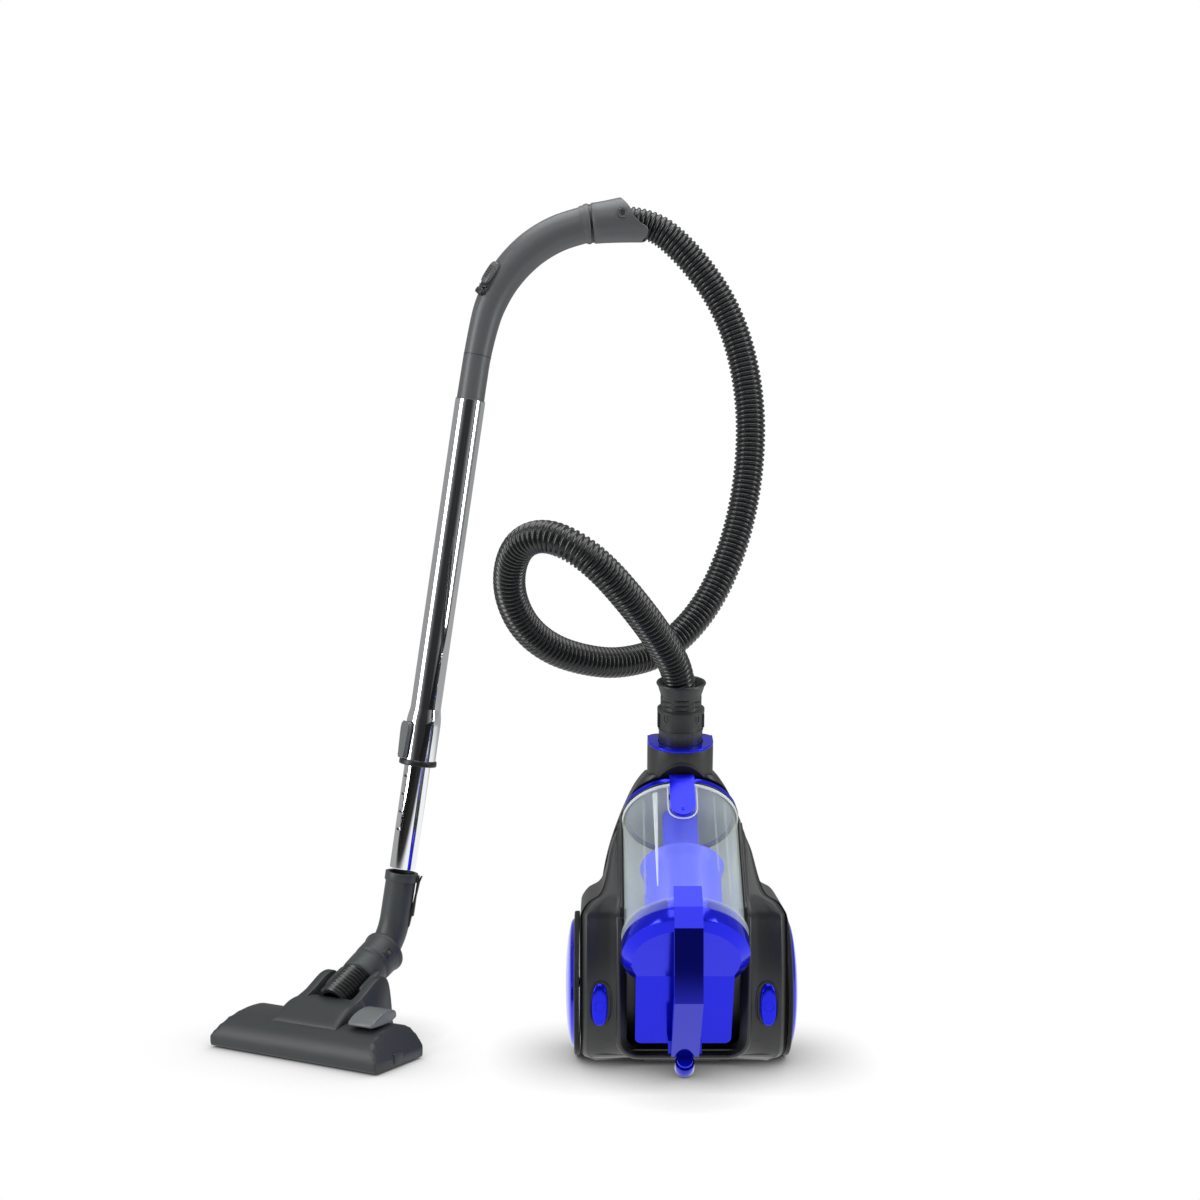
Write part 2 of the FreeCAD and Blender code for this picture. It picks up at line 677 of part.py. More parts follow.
def rod_from(name, frame, axis, radius, length, x=0, y=0, z=0):
    """A cylinder along the X or Y axis of a frame, from a local point."""
    turn = ("y", 90) if axis == "x" else ("x", -90)
    return Frame(frame, (x, y, z), *turn).seat(rod(name, radius, length))


def ball(name, radius, frame, at):
    item = doc.addObject("Part::Sphere", name)
    item.setExpression("Radius", as_size(radius).text)
    return frame.seat(item, *at)


cradle = cut(
    "cradle",
    common("CradleClip", cradle_all, cradle_limit),
    rod("LidInlet", S.duct_rad, 20, CUP, (0, -lid_u, S.trough_end - 5)),
    rod_along("IntakeHole", "y", S.spout_rad, 60, 0, -80, S.motor_z),
)
half = S.port_half
port_collar = padded(
    "port_collar", "XY_Plane",
    [[(-half, 0, half), (0, -half, half), (half, 0), (half, S.port_open), (half - 13, S.port_open),
      (half - 13, 2, -28.4), (0, -28.6, -28.4), (-half + 13, 2), (-half + 13, S.port_open),
      (-half, S.port_open)]],
    S.collar_tall, PORT)

duct_floor = -S.cuff_deep - 2
duct_bend = -52
duct_solid = fuse(
    "DuctSolid",
    rod("DuctSocket", S.socket_rad + 2.8, S.cuff_deep + 4.5 - S.wall, PORT, (0, 0, duct_floor - 2.5)),
    rod("DuctDown", S.duct_rad, 20, PORT, (0, 0, duct_bend)),
    ball("DuctElbow", S.duct_rad + 0.6, PORT, (0, 0, duct_bend)),
)
duct_bores = [
    rod("SocketBore", S.socket_rad, 60, PORT, (0, 0, duct_floor)),
    rod("DownBore", S.duct_bore, 30, PORT, (0, 0, duct_bend)),
    ball("ElbowBore", S.duct_bore + 0.2, PORT, (0, 0, duct_bend)),
    rod("LidBore", S.duct_bore, 37.7, CUP, (0, -lid_u, S.trough_end - 20)),
]
behind_wall = box("BehindWall", (-60, -150, S.trough_end + S.tray_wall), (120, 200, 200), CUP)
inlet_duct = cut(
    "inlet_duct",
    fuse("DuctJoined", common("DuctBehind", duct_solid, behind_wall),
         rod("DuctSpout", S.duct_rad, 17.7, CUP, (0, -lid_u, S.trough_end))),
    *duct_bores)


def ring_outline(inner, outer, low, high):
    return [(inner, low), (outer, low), (outer, high), (inner, high)]


lid_face = S.cup_end + S.gasket_long + S.ring_long - 0.4
intake_seal = turned("intake_seal", ring_outline(S.duct_bore, S.duct_rad + 2, lid_face, S.trough_end),
                     CUP, (0, -lid_u, 0))

motor_at = (0, S.motor_y, S.motor_z)
can = S.can_rad
can_shell = turned_x(
    "CanShell",
    [(-50, 8), (60, 8), (60, can), (-50, can)], *motor_at)
can_space = turned_x("CanSpace", [(-47.5, 0), (57.5, 0), (57.5, can - 2.5), (-47.5, can - 2.5)], *motor_at)
spout = common(
    "Spout",
    rod_along("SpoutRod", "y", S.spout_rad, 50, 0, -78, S.motor_z),
    box("BehindPanel", (-60, S.panel_thick + S.tray_deep, -80), (120, 200, 250), PANEL))
reel_at = (0, S.reel_y, S.reel_z)
reel_pin = turned_x("ReelPin", [(-96.5, 0), (-49, 0), (-49, 5), (-96.5, 5)], *reel_at)
motor_can = cut("motor_can", fuse("CanBlank", can_shell, spout, reel_pin), can_space,
                rod_along("SpoutBore", "y", S.spout_rad - 2.5, 60, 0, -90, S.motor_z))
motor = turned_x("motor", [(-48, 0), (54, 0), (54, 38), (-24, 38), (-24, 4), (-48, 4)], *motor_at)
fan = turned_x("fan", [(-45, 4.05), (-33, 4.05), (-33, 12), (-36, 44), (-43, 44), (-45, 12)], *motor_at)
motor_mount = turned_x("motor_mount", [
    (-22, 38), (52, 38), (52, can - 2.5), (44, can - 2.5), (44, 40.5), (-14, 40.5), (-14, can - 2.5),
    (-22, can - 2.5)], *motor_at)
cord_reel = turned_x(
    "cord_reel",
    [(-94, 5.05), (-60, 5.05), (-60, S.reel_rad), (-62, S.reel_rad), (-62, S.reel_rad - 10),
     (-92, S.reel_rad - 10), (-92, S.reel_rad), (-94, S.reel_rad)], *reel_at)
control_board = fuse(
    "control_board", box("BoardPlate", (62, -25, 40), (1.6, 60, 44)),
    box("BoardPostLow", (60, 6, 44), (2, 8, 8)), box("BoardPostHigh", (60, 6, 70), (2, 8, 8)),
    box("BoardParts", (63.6, -15, 48), (9, 36, 26)))
exhaust_filter = box("exhaust_filter", (-44, -38, 4), (88, 22, 11))
grille_slots = fuse("GrilleSlots", *[
    box("GrilleSlot%d" % number, (-42 + number * 12, -36, -2), (6, 18, 10)) for number in range(8)])
exhaust_grille = cut(
    "exhaust_grille",
    fuse("GrilleBlank", box("GrillePlate", (-46, -40, 0.8), (92, 26, 2)),
         box("GrilleFlange", (-48, -42, 2.8), (96, 30, 1.2))),
    grille_slots)
cord_outlet = cut(
    "cord_outlet", rod_along("OutletBush", "y", 9, 10, 60, 67, 40),
    rod_along("OutletBore", "y", 5, 30, 60, 60, 40))

wells = []
for side, word in ((1, "power"), (-1, "cord")):
    title = word.title()
    limit = pod("%sLimit" % title, side, 0)
    x = side * S.button_x
    wells.append(cut(
        title + "Well", common(title + "WellBlank", oval(title + "WellOut", side, 2.5, -110, 34), limit),
        oval(title + "WellIn", side, S.run_gap, -110, 31),
        rod_along(title + "StemHole", "y", 4.35, 20, x, -85, S.button_z)))
    face = -S.button_face
    fuse(word + "_button",
         oval(title + "Key", side, 0, face, 10),
         rod_along(title + "Stem", "y", 4, 21, x, face + 8, S.button_z),
         rod_along(title + "Clip", "y", 6, 2.5, x, face + 18.1, S.button_z))
    cut(word + "_spring", rod_along(title + "Coil", "y", 7, 5, x, face + 10, S.button_z),
        rod_along(title + "CoilBore", "y", 5.5, 20, x, face + 5, S.button_z))
button_wells = fuse("button_wells", *wells)


tyre_in, tyre_out = S.wheel_in, S.wheel_in + S.tyre_wide
rim = S.wheel_rad - S.tyre_thick
axle_at = (0, 0, S.axle_tall)
tyre = turned_x("right_tyre", [
    (tyre_in, rim), (tyre_out, rim), (tyre_out, S.wheel_rad - 2), (tyre_out - 2, S.wheel_rad),
    (tyre_in + 3, S.wheel_rad), (tyre_in, S.wheel_rad - 3)], *axle_at)
dome_rad = (rim * rim + S.hub_dome * S.hub_dome) / (S.hub_dome * 2)
hub = turned_x("right_hub", [
    (tyre_in + 1, S.axle_rad + 0.05), (tyre_out + 1, S.axle_rad + 0.05), (tyre_out + 1, 0),
    (tyre_out + S.hub_dome, 0), (tyre_out + S.hub_dome, S.axle_rad, -dome_rad), (tyre_out, rim),
    (tyre_in + 1, rim)], *axle_at)
axle = turned_x("RightAxle", [
    (117, 0), (tyre_out, 0), (tyre_out, S.axle_rad), (S.pod_out - S.wall, S.axle_rad),
    (S.pod_out - S.wall, 14), (117, 14)], *axle_at)
mirrored("left_tyre", tyre)
mirrored("left_hub", hub)
stub_axles = fuse("stub_axles", axle, mirrored("LeftAxle", axle))

trail_z = S.caster_z - S.caster_trail
wheel_y = S.wheel_rad - S.caster_rad
arm = S.caster_wide / 2 + 0.6
pin_start = S.caster_floor - 16
caster_yoke = fuse(
    "caster_yoke", rod_along("YokeDisc", "y", 15, 4, 0, S.caster_floor + 3, S.caster_z),
    box("YokeArmRight", (arm, S.caster_floor + 3, trail_z - 6), (3, wheel_y - S.caster_floor, 16)),
    box("YokeArmLeft", (-arm - 3, S.caster_floor + 3, trail_z - 6), (3, wheel_y - S.caster_floor, 16)),
    rod_along("PinRod", "y", S.caster_pin, 20, 0, pin_start, S.caster_z),
    rod_along("PinHead", "y", 6.5, 2.5, 0, pin_start, S.caster_z),
    rod_along("CasterAxle", "x", 2.5, arm * 2 + 4, -arm - 2, wheel_y, trail_z))
caster_wheel = cut("caster_wheel",
                   rod_along("CasterDisc", "x", S.caster_rad, S.caster_wide, -S.caster_wide / 2, wheel_y, trail_z),
                   rod_along("CasterBore", "x", 2.55, 40, -20, wheel_y, trail_z))


# ---- dust cup ------------------------------------------------------------------------------------

cup_in, lip_end = S.cup_rad - S.cup_wall, S.cup_start + S.lip_long
clear_cup = turned("clear_cup", [
    (S.lip_rad - S.cup_wall, S.cup_start), (S.lip_rad, S.cup_start), (S.lip_rad, lip_end - 3),
    (S.cup_rad, lip_end), (S.cup_rad, S.cup_end), (cup_in, S.cup_end), (cup_in, lip_end + 1),
    (S.lip_rad - S.cup_wall, lip_end - 2)], CUP)
spigot = S.lip_rad - S.cup_wall - 0.4
cap_turned = turned("CapTurned", [
    (0, 0), (S.cap_face_rad, 0), (S.cap_rad, S.cap_long - S.cap_band), (S.cap_rad, S.cap_long),
    (spigot, S.cap_long), (spigot, S.bell_start), (S.column_rad, S.bell_start),
    (S.column_rad, S.bell_start - 2.5), (spigot - 2.5, S.bell_start - 2.5), (spigot - 2.5, 12), (62, 3),
    (0, 3)], CUP)
ph = S.panel_half
panel = padded("PanelBlock", "XZ_Plane", [[
    (-ph + 8, 0), (ph - 8, 0, 8), (ph, 8), (ph, S.panel_long + 6), (-ph, S.panel_long + 6), (-ph, 8, 8)]],
    S.panel_thick, PANEL, lift=-S.panel_thick)
cap_inside = turned("CapInside", [(0, 3), (62, 3), (spigot - 2.5, 12), (spigot - 2.5, 36), (0, 36)], CUP)
bin_cap = cut(
    "bin_cap", fuse("CapBlank", cap_turned, cut("PanelOutside", panel, cap_inside)),
    box("PanelChannel", (-50, 3, 8), (100, 24, S.panel_long - 10), PANEL))
foam_filter = turned("foam_filter", [(0, 14), (spigot - 2.5, 14), (spigot - 2.5, 30), (0, 30)], CUP)


def cup_yz(along, out):
    """Row coordinates (Y, Z) of a point in the cup's mirror plane."""
    point = CUP.point(0, -as_size(out), along)
    return (point[1], point[2])


grip_low = (S.handle_low_y, S.handle_low_z)
handle_loop = padded("HandleLoop", "YZ_Plane", [[
    cup_yz(S.handle_root, 89.9), cup_yz(15, 90), (S.handle_front, 198), (S.handle_front, 112), grip_low,
    (S.handle_low_y + 9.6, S.handle_low_z + 10.2), (S.handle_front + 14, 118.1),
    (S.handle_front + 14, 194.2), cup_yz(9.5, 75), cup_yz(S.cap_long, 75), cup_yz(S.cap_long + 1, 77.2),
    cup_yz(S.handle_root, 77.2)]], S.handle_wide, both=True)
RELEASE = Frame(None, (0, S.release_y, S.release_z), "x", S.cup_tilt)
bore = S.release_rad + S.run_gap
carry_handle = cut(
    "carry_handle",
    fuse("HandleBlank", handle_loop,
         cut("HandleFoot", box("HandleFootBlock", (-20, -113, 30), (40, 52, 15)),
             box("FootLimit", (-60, 0, -60), (120, 60, 200), PANEL)),
         rod("ReleaseSleeve", bore + 1.8, 14, RELEASE, (0, 0, -12)),
         box("ReleaseNeck", (-8, -112, 24), (16, 16, 7))),
    rod("ReleaseBore", bore, 20, RELEASE, (0, 0, -9)),
    moved_copy("CapUnderHandle", bin_cap))
release_button = rod("release_button", S.release_rad, 13, RELEASE, (0, 0, -5))
release_spring = cut("release_spring", rod("ReleaseCoil", 6, 4, RELEASE, (0, 0, -9)),
                     rod("ReleaseCoilBore", 4.5, 8, RELEASE, (0, 0, -11)))
ring_start = S.cup_end + S.gasket_long
cup_gasket = turned("cup_gasket", ring_outline(67, S.cup_rad - 0.3, S.cup_end, ring_start), CUP)
cup_ring = turned("cup_ring", [
    (66, ring_start), (S.cup_rad + 0.7, ring_start), (S.cup_rad + 0.7, lid_face - 2),
    (S.cup_rad - 1.3, lid_face), (66, lid_face)], CUP)
lid_low = ring_start + 2.4
bin_lid = cut(
    "bin_lid",
    fuse("LidBlank", rod("LidDisc", 66, 4, CUP, (0, 0, lid_low)),
         rod("LidSpout", S.duct_bore + 2, lid_face - lid_low, CUP, (0, -lid_u, lid_low))),
    rod("LidHole", S.duct_bore - 0.5, 40, CUP, (0, -lid_u, lid_low - 20)))
tongue_half = S.tongue_wide / 2
tongue = [
    (-tongue_half, 160 + tongue_half, tongue_half), (0, 160, tongue_half), (tongue_half, 160 + tongue_half),
    (tongue_half, lid_face - 1), (-tongue_half, lid_face - 1)]
lid_latch = padded("lid_latch", "XZ_Plane", [tongue],
                   3.4, CUP, lift=S.cup_rad + 1)
cyclone_column = turned("cyclone_column", ring_outline(
    S.column_rad - 2, S.column_rad, S.bell_start - 2.5, lid_low), CUP)
bell_top = S.bell_end - 16
cyclone_bell = turned("cyclone_bell", [
    (S.bell_rad - 1.8, S.bell_start), (S.bell_rad, S.bell_start), (S.bell_rad, bell_top),
    (S.bell_lip_rad, S.bell_end), (S.bell_lip_rad - 1.8, S.bell_end), (S.bell_rad - 1.8, bell_top + 2),
    (S.column_rad, bell_top + 2), (S.column_rad, bell_top), (S.bell_rad - 1.8, bell_top)], CUP)
swirl_vanes = fuse("swirl_vanes", turned(
    "VaneRing", ring_outline(S.column_rad, S.column_rad + 2, bell_top + 2, S.bell_end), CUP), *[
    Frame(CUP, (0, 0, bell_top + 2), "z", 60 * number).seat(box("Vane%d" % number, (0, 0, 0), (22, 2, 12)),
                                                           S.column_rad + 1, 0, 0)
    for number in range(6)])


# ---- hose and its cuff -------------------------------------------------------------------------

cuff_step = S.hose_rad + S.run_gap
cuff_turned = turned("CuffTurned", [
    (24.6, -S.cuff_deep + 0.35), (S.cuff_rad, -S.cuff_deep + 0.35), (S.cuff_rad, S.tab_low - 3),
    (S.cuff_rad + 0.8, S.tab_low - 3), (S.cuff_rad + 0.8, S.tab_low - 1), (S.cuff_rad, S.tab_low - 1),
    (S.cuff_rad, 41), (29.5, 41.8), (29.5, 46), (S.cuff_slot_rad, 47), (S.cuff_slot_rad, 64),
    (S.cuff_flare, S.cuff_tall), (27.8, S.cuff_tall), (cuff_step, 64.5),
    (cuff_step, S.hose_seat - S.run_gap), (S.hose_bore, S.hose_seat - S.run_gap), (S.hose_bore, 34),
    (24.6, 26)], PORT)
slots = []
for row in range(5):
    for quarter in range(4):
        turn = Frame(PORT, (0, 0, 48.2 + 3.2 * row), "z", 90 * quarter + 45 * (row % 2))
        slots.append(box("CuffSlot%d%d" % (row, quarter), (S.cuff_slot_rad - 1.6, -11, 0), (6, 22, 1.7), turn))
pocket_floor = S.cuff_rad - S.tab_push - 0.7
tab_edge = S.tab_wide / 2 + S.run_gap
pockets = []
for word, side in (("right", 1), ("left", -1)):
    facing = Frame(PORT, (0, 0, S.tab_low), "z", 0 if side > 0 else 180)
    pockets.append(box(word.title() + "Pocket", (pocket_floor, -tab_edge, -S.run_gap),
                       (8, tab_edge * 2, S.tab_tall + S.run_gap * 2), facing))
    box(word + "_cuff_tab", (S.cuff_rad - 0.5, -S.tab_wide / 2, 0), (2.3, S.tab_wide, S.tab_tall), facing)
hose_cuff = cut("hose_cuff", cuff_turned, fuse("CuffSlots", *slots), *pockets)

grip_low = S.grip_start
rise_start, rise_middle, rise_end = 90 - S.wand_lean, S.rise_middle, S.rise_end
first_bend = WAND.point(0, 0, grip_low + S.grip_line)


def bend_end(start, radius, rise, next_rise):
    """End of an arc in the wand's plane that turns clockwise from one rise to the next."""
    return [
        start[0] + radius * (sine(rise) - sine(next_rise)),
        start[1],
        start[2] + radius * (cosine(next_rise) - cosine(rise)),
    ]


second_bend = bend_end(first_bend, S.grip_bend, rise_start, rise_middle)
grip_end = bend_end(second_bend, S.grip_bend_two, rise_middle, rise_end)
END = Frame(None, grip_end, "y", 90 - S.end_rise)

route = [PORT.point(0, 0, S.hose_seat), PORT.point(0, 0, S.hose_seat + 46)]
for number in range(len(ROUTE)):
    route.append([getattr(S, "route%d%s" % (number + 1, letter)) for letter in "xyz"])
route += [END.point(0, 0, 72), END.point(0, 0, 20)]
points = [vec(*[as_size(value).value for value in place]) for place in route]


def rounded_wire(corners):
    """Straight runs joined by tangent arcs, each as wide as its shorter run allows."""
    edges, start, radii = [], corners[0], []
    for before, corner, after in zip(corners, corners[1:], corners[2:]):
        into, out = (corner - before), (after - corner)
        reach = 0.45 * min(into.Length, out.Length)
        into.normalize()
        out.normalize()
        half_turn = into.getAngle(out) / 2
        radii.append(reach / math.tan(half_turn))
        first, last = corner - into * reach, corner + out * reach
        side = (out - into)
        side.normalize()
        centre = corner + side * (radii[-1] / math.cos(half_turn))
        middle = centre - side * radii[-1]
        edges.append(Part.makeLine(start, first))
        edges.append(Part.Arc(first, middle, last).toShape())
        start = last
    edges.append(Part.makeLine(start, corners[-1]))
    return Part.Wire(edges), radii


def swept(wire, radius):
    """A solid of round section along a wire."""
    first = wire.Edges[0]
    start = first.valueAt(first.FirstParameter)
    heading = first.tangentAt(first.FirstParameter)
    return wire.makePipe(Part.Face(Part.Wire(Part.Circle(start, heading, radius).toShape())))


def pipe_along(corners, outer, inner):
    wire, radii = rounded_wire(corners)
    section = math.pi * (outer ** 2 - inner ** 2)
    result = swept(wire, outer).cut(swept(wire, inner))
    print("hose: length %.0f, volume over section %.0f, bends %s" % (
        wire.Length, result.Volume / section, " ".join("%.0f" % radius for radius in radii)))
    return result


hose = shape_part("hose", pipe_along(points, S.hose_rad.value, S.hose_bore.value))

c0, c1, spigot_end = S.collar_start_rad, S.collar_end_rad, 18
collar_blank = turned("EndCollarBlank", [
    (c0 - 2, -1), (c0, -1), (c0 + 0.6, 20), (c1, 60), (c1, 72), (c1 - 3, 72), (S.hose_rad + 1, 46),
    (S.hose_rad, 38), (S.hose_rad, 20), (S.hose_bore, 20), (S.hose_bore, 18.4), (22 + S.run_gap, 18.4),
    (22 + S.run_gap, 4), (c0 - 2, 3)], END)
lip_cut = padded("LipCut", "XZ_Plane", [[(-40, 41), (40, 75), (40, 95), (-40, 95)]], 100, END, both=True)
hose_end_collar = cut("hose_end_collar", collar_blank, lip_cut)


# ---- wand ------------------------------------------------------------------------------------------

def flat_arc(start, end, centre, radius):
    """An arc in the wand's plane between two points round a centre."""
    middle = (start + end) * 0.5 - centre
    middle.normalize()
    return Part.Arc(start, centre + middle * radius, end).toShape()


def grip_wire():
    """The grip's two bends, each an arc in the wand's plane."""
    marks = [vec(*[size.value for size in place]) for place in (first_bend, second_bend, grip_end)]
    edges = []
    rises = (rise_start.value, rise_middle.value)
    for number, radius in enumerate((S.grip_bend.value, S.grip_bend_two.value)):
        angle = math.radians(rises[number])
        centre = marks[number] + vec(math.sin(angle), 0, -math.cos(angle)) * radius
        edges.append(flat_arc(marks[number], marks[number + 1], centre, radius))
    return Part.Wire(edges)


bend_start = grip_low + S.grip_line
grip_sleeve = turned("GripSleeve", [
    (0, grip_low), (S.grip_rad, grip_low), (S.grip_rad, grip_low + 36), (S.grip_rad + 0.6, grip_low + 37),
    (S.grip_mid_rad, bend_start), (0, bend_start)], WAND)
grip_shell = shape_part("GripShell", swept(grip_wire(), S.grip_mid_rad.value))
grip_hollow = shape_part("GripHollow", swept(grip_wire(), S.grip_bore.value))
slide_angle = 58.5
SLIDE = Frame(None, bend_end(first_bend, S.grip_bend, rise_start, as_size(slide_angle)), "y", 90 - slide_angle)
grip = cut(
    "grip",
    fuse("GripBlank", grip_sleeve, grip_shell, ball("GripKnee", S.grip_mid_rad - 0.2, END, (0, 0, 0)),
         rod("GripSpigot", 22, spigot_end, END)),
    grip_hollow, ball("KneeBore", S.grip_bore + 0.3, END, (0, 0, 0)),
    rod("GripLineBore", S.grip_bore, S.grip_line, WAND, (0, 0, grip_low)),
    rod("GripSeat", S.outer_rad, S.outer_end - grip_low + 1, WAND, (0, 0, grip_low - 1)),
    rod("SpigotBore", S.grip_bore, 30, END),
    box("SlidePocket", (-40, -8.4, -17.5), (40 - 20.6, 16.8, 47), SLIDE),
    box("ReliefHole", (-40, -3.5, -13), (40, 7, 8), SLIDE),
)
suction_slider = fuse(
    "suction_slider", box("SliderPlate", (-23.4, -8, -15), (2.7, 16, 30), SLIDE),
    *[box("SliderRib%d" % number, (-25, -7, -13 + number * 5.8), (1.8, 14, 2.4), SLIDE) for number in range(5)])
upper_tube = turned("upper_tube", [
    (S.outer_rad - S.tube_wall, 226), (S.lock_flare - S.tube_wall, 211), (S.lock_flare - S.tube_wall, S.outer_start),
    (S.lock_flare, S.outer_start), (S.lock_flare, 212), (S.outer_rad, 227), (S.outer_rad, S.outer_end),
    (S.outer_rad - S.tube_wall, S.outer_end)], WAND)
lock_ring = turned("lock_ring", [
    (S.inner_rad + S.run_gap, S.outer_start - 7), (S.lock_flare + 1.2, S.outer_start - 7),
    (S.lock_flare + 1.2, S.outer_start), (S.lock_flare - S.tube_wall, S.outer_start),
    (S.lock_flare - S.tube_wall, 210), (S.inner_rad + S.run_gap, 210)], WAND)
lock_slider = padded("lock_slider", "XZ_Plane", [[
    (-S.lock_flare - 0.3, 158), (-S.lock_flare - 0.3, 204), (-S.lock_flare - 4.6, 204),
    (-S.lock_flare - 5.6, 196), (-S.lock_flare - 2.4, 158)]], 15, WAND, both=True)
tube_blank = turned("TubeBlank", ring_outline(
    S.inner_rad - S.tube_wall, S.inner_rad, S.inner_start + 22, S.inner_end), WAND)
notches = fuse("Notches", *[
    box("Notch%d" % number, (-S.inner_rad - 3, -3, 56 + 23.95 * number), (5, 6, 5), WAND) for number in range(4)])
lower_tube = cut("lower_tube", tube_blank, notches)


def elbow_wire(past=0):
    """The elbow's path from its mouth to its seat in the neck, or a little past the seat."""
    corner = NECK.vector(0, 0, S.elbow_corner)
    mouth = WAND.vector(0, 0, -11)
    up = mouth - corner
    up.normalize()
    down = NECK.vector() - corner
    down.normalize()
    half_turn = (math.pi - up.getAngle(down)) / 2
    reach = S.elbow_bend.value * math.tan(half_turn)
    first, last = corner + up * reach, corner + down * reach
    middle = up + down
    middle.normalize()
    centre = corner + middle * (S.elbow_bend.value / math.cos(half_turn))
    print("elbow: mouth %s, corner %s, tangent %.1f" % (mouth, corner, reach))
    return Part.Wire([Part.makeLine(mouth, first), Part.Arc(
        first, centre - middle * S.elbow_bend.value, last).toShape(),
        Part.makeLine(last, NECK.vector(0, 0, S.neck_seat - past))])


elbow_path = elbow_wire()
elbow_shell = shape_part("ElbowShell", swept(elbow_path, S.elbow_rad.value))
elbow_hollow = shape_part("ElbowHollow", swept(elbow_wire(4), S.inner_rad.value - 0.4))
elbow = cut(
    "elbow",
    fuse("ElbowBlank", elbow_shell, box("HookStrip", (S.elbow_rad + 1.6, -5, -56), (2.2, 10, 54), WAND), rod("ElbowLip", S.elbow_rad + 1.8, 11, WAND, (0, 0, -11)),
         rod("ElbowBearing", S.neck_bore - S.run_gap, 20, NECK, (0, 0, S.neck_seat))),
    elbow_hollow,
    rod("ElbowSeat", S.inner_rad, 40, WAND, (0, 0, S.inner_start + 22)))


# ---- floor head ------------------------------------------------------------------------------------

neck_collar = cut(
    "neck_collar",
    fuse("CollarBlank", turned("CollarTurned", [
        (S.neck_bore - 4, 22), (25, 22), (26, 50), (26.6, 52), (27, 78), (28.4, 80), (28.4, S.neck_rim),
        (27.2, S.neck_rim), (25.6, S.neck_rim - 14), (25.6, S.neck_seat + 22), (S.neck_bore, S.neck_seat + 20), (S.neck_bore, S.neck_seat - 0.3),
        (S.neck_bore - 4, S.neck_seat - 0.3)], NECK),
        box("NeckArmRight", (23.2, -8, -8), (8.6, 16, 42), NECK),
        box("NeckArmLeft", (-31.8, -8, -8), (8.6, 16, 42), NECK),
        rod_from("NeckPinRight", NECK, "x", 4, 14, 31, 0, 0),
        rod_from("NeckPinLeft", NECK, "x", 4, 14, -45, 0, 0)),
    rod("CollarBore", S.neck_bore, 20, NECK, (0, 0, S.neck_seat)))
bellows = turned("bellows", ring_outline(S.neck_bore - 3.4, S.neck_bore - 0.4, -14, 22), NECK)

half, deep = S.head_half, S.head_deep / 2
cover_side = padded("CoverSide", "YZ_Plane", [[
    (-deep, 8), (deep, 8), (deep, 28), (deep - 14, 42), (14, S.head_tall), (-14, 38), (-36, 26), (-deep, 12)]],
    half * 2, HEAD, both=True)
cover_front = padded("CoverFront", "XZ_Plane", [[
    (-half, 0), (half, 0), (half, 14), (half - 20, S.head_tall), (-half + 20, S.head_tall), (-half, 14)]],
    160, HEAD, both=True)
hump = padded("Hump", "YZ_Plane", [[(-24, 30), (-24, 34), (4, 58), (14, 62), (30, 62), (30, 30)]], 93, HEAD, both=True)
ear_side = [(14, 30), (14, 60), (40, 70), (70, 83), (86, 82), (98, 46), (100, 10), (46, 10), (46, 30)][::-1]
ear_right = padded("EarRight", "YZ_Plane", [ear_side], 12.5, HEAD, lift=34)
ear_left = padded("EarLeft", "YZ_Plane", [ear_side], 12.5, HEAD, lift=-46.5)
head_cover = cut(
    "head_cover",
    fuse("CoverBlank", common("CoverShell", cover_side, cover_front), hump, ear_right, ear_left,
         box("BackBridge", (-46.5, 44, 10), (93, 50, 20), HEAD),
         box("PedalLugIn", (57, 0, 36), (3.5, 12, 20), HEAD), box("PedalLugOut", (96, 0, 36), (3.5, 12, 20), HEAD),
         rod_from("PedalPin", HEAD, "x", 2.2, 42.5, 57, S.pedal_y, S.pedal_z)),
    box("CoverSpace", (-half + 5, -deep + 3, 0), (half * 2 - 10, deep * 2 - 6, 22), HEAD),
    box("CoverDuct", (-20, 10, 16), (40, 60, 12), HEAD),
    rod_from("NeckPinBore", HEAD, "x", 4 + S.run_gap, 120, -60, S.pivot_y, S.pivot_z),
    *[box("RollerRoom%d" % number, (x, 27, 0), (15, 19, 18), HEAD) for number, x in enumerate((-112, 97))])
sole_plate = fuse("sole_plate", cut(
    "SolePunched",
    box("SoleBlank", (-half + 5, -deep + 3, 3), (half * 2 - 10, deep * 2 - 6, 5), HEAD),
    box("SuctionMouth", (-100, -11, 0), (200, 22, 12), HEAD),
    *[box("StripSlot%d" % number, (-106, y, 0), (212, 5, 12), HEAD) for number, y in enumerate((-21, 16))],
    *[box("RollerSlot%d" % number, (x, 27, 0), (15, 17, 18), HEAD) for number, x in enumerate((-112, 97))]),
    *[rod_from("RollerPin%d" % number, HEAD, "x", 1.5, 17, x - 1, 36.5, 6.5)
      for number, x in enumerate((-112, 97))])
brush_strips = fuse(
    "brush_strips", box("StripFront", (-105, -20, 3.6), (210, 3, 12), HEAD),
    box("StripBack", (-105, 17, 3.6), (210, 3, 12), HEAD),
    box("StripBridgeIn", (-104, -20, 12), (3, 40, 3.6), HEAD), box("StripBridgeOut", (101, -20, 12), (3, 40, 3.6), HEAD))
pedal = cut(
    "pedal",
    padded("PedalBlank", "YZ_Plane", [[
        (S.pedal_y - 20, 48.5), (S.pedal_y - 2, 46.5), (S.pedal_y + 20, 48.5), (S.pedal_y + 20, 54),
        (S.pedal_y + 2, 60), (S.pedal_y - 20, 53)]], 34, HEAD, lift=61.3),
    rod_from("PedalBore", HEAD, "x", 2.25, 60, 50, S.pedal_y, S.pedal_z))
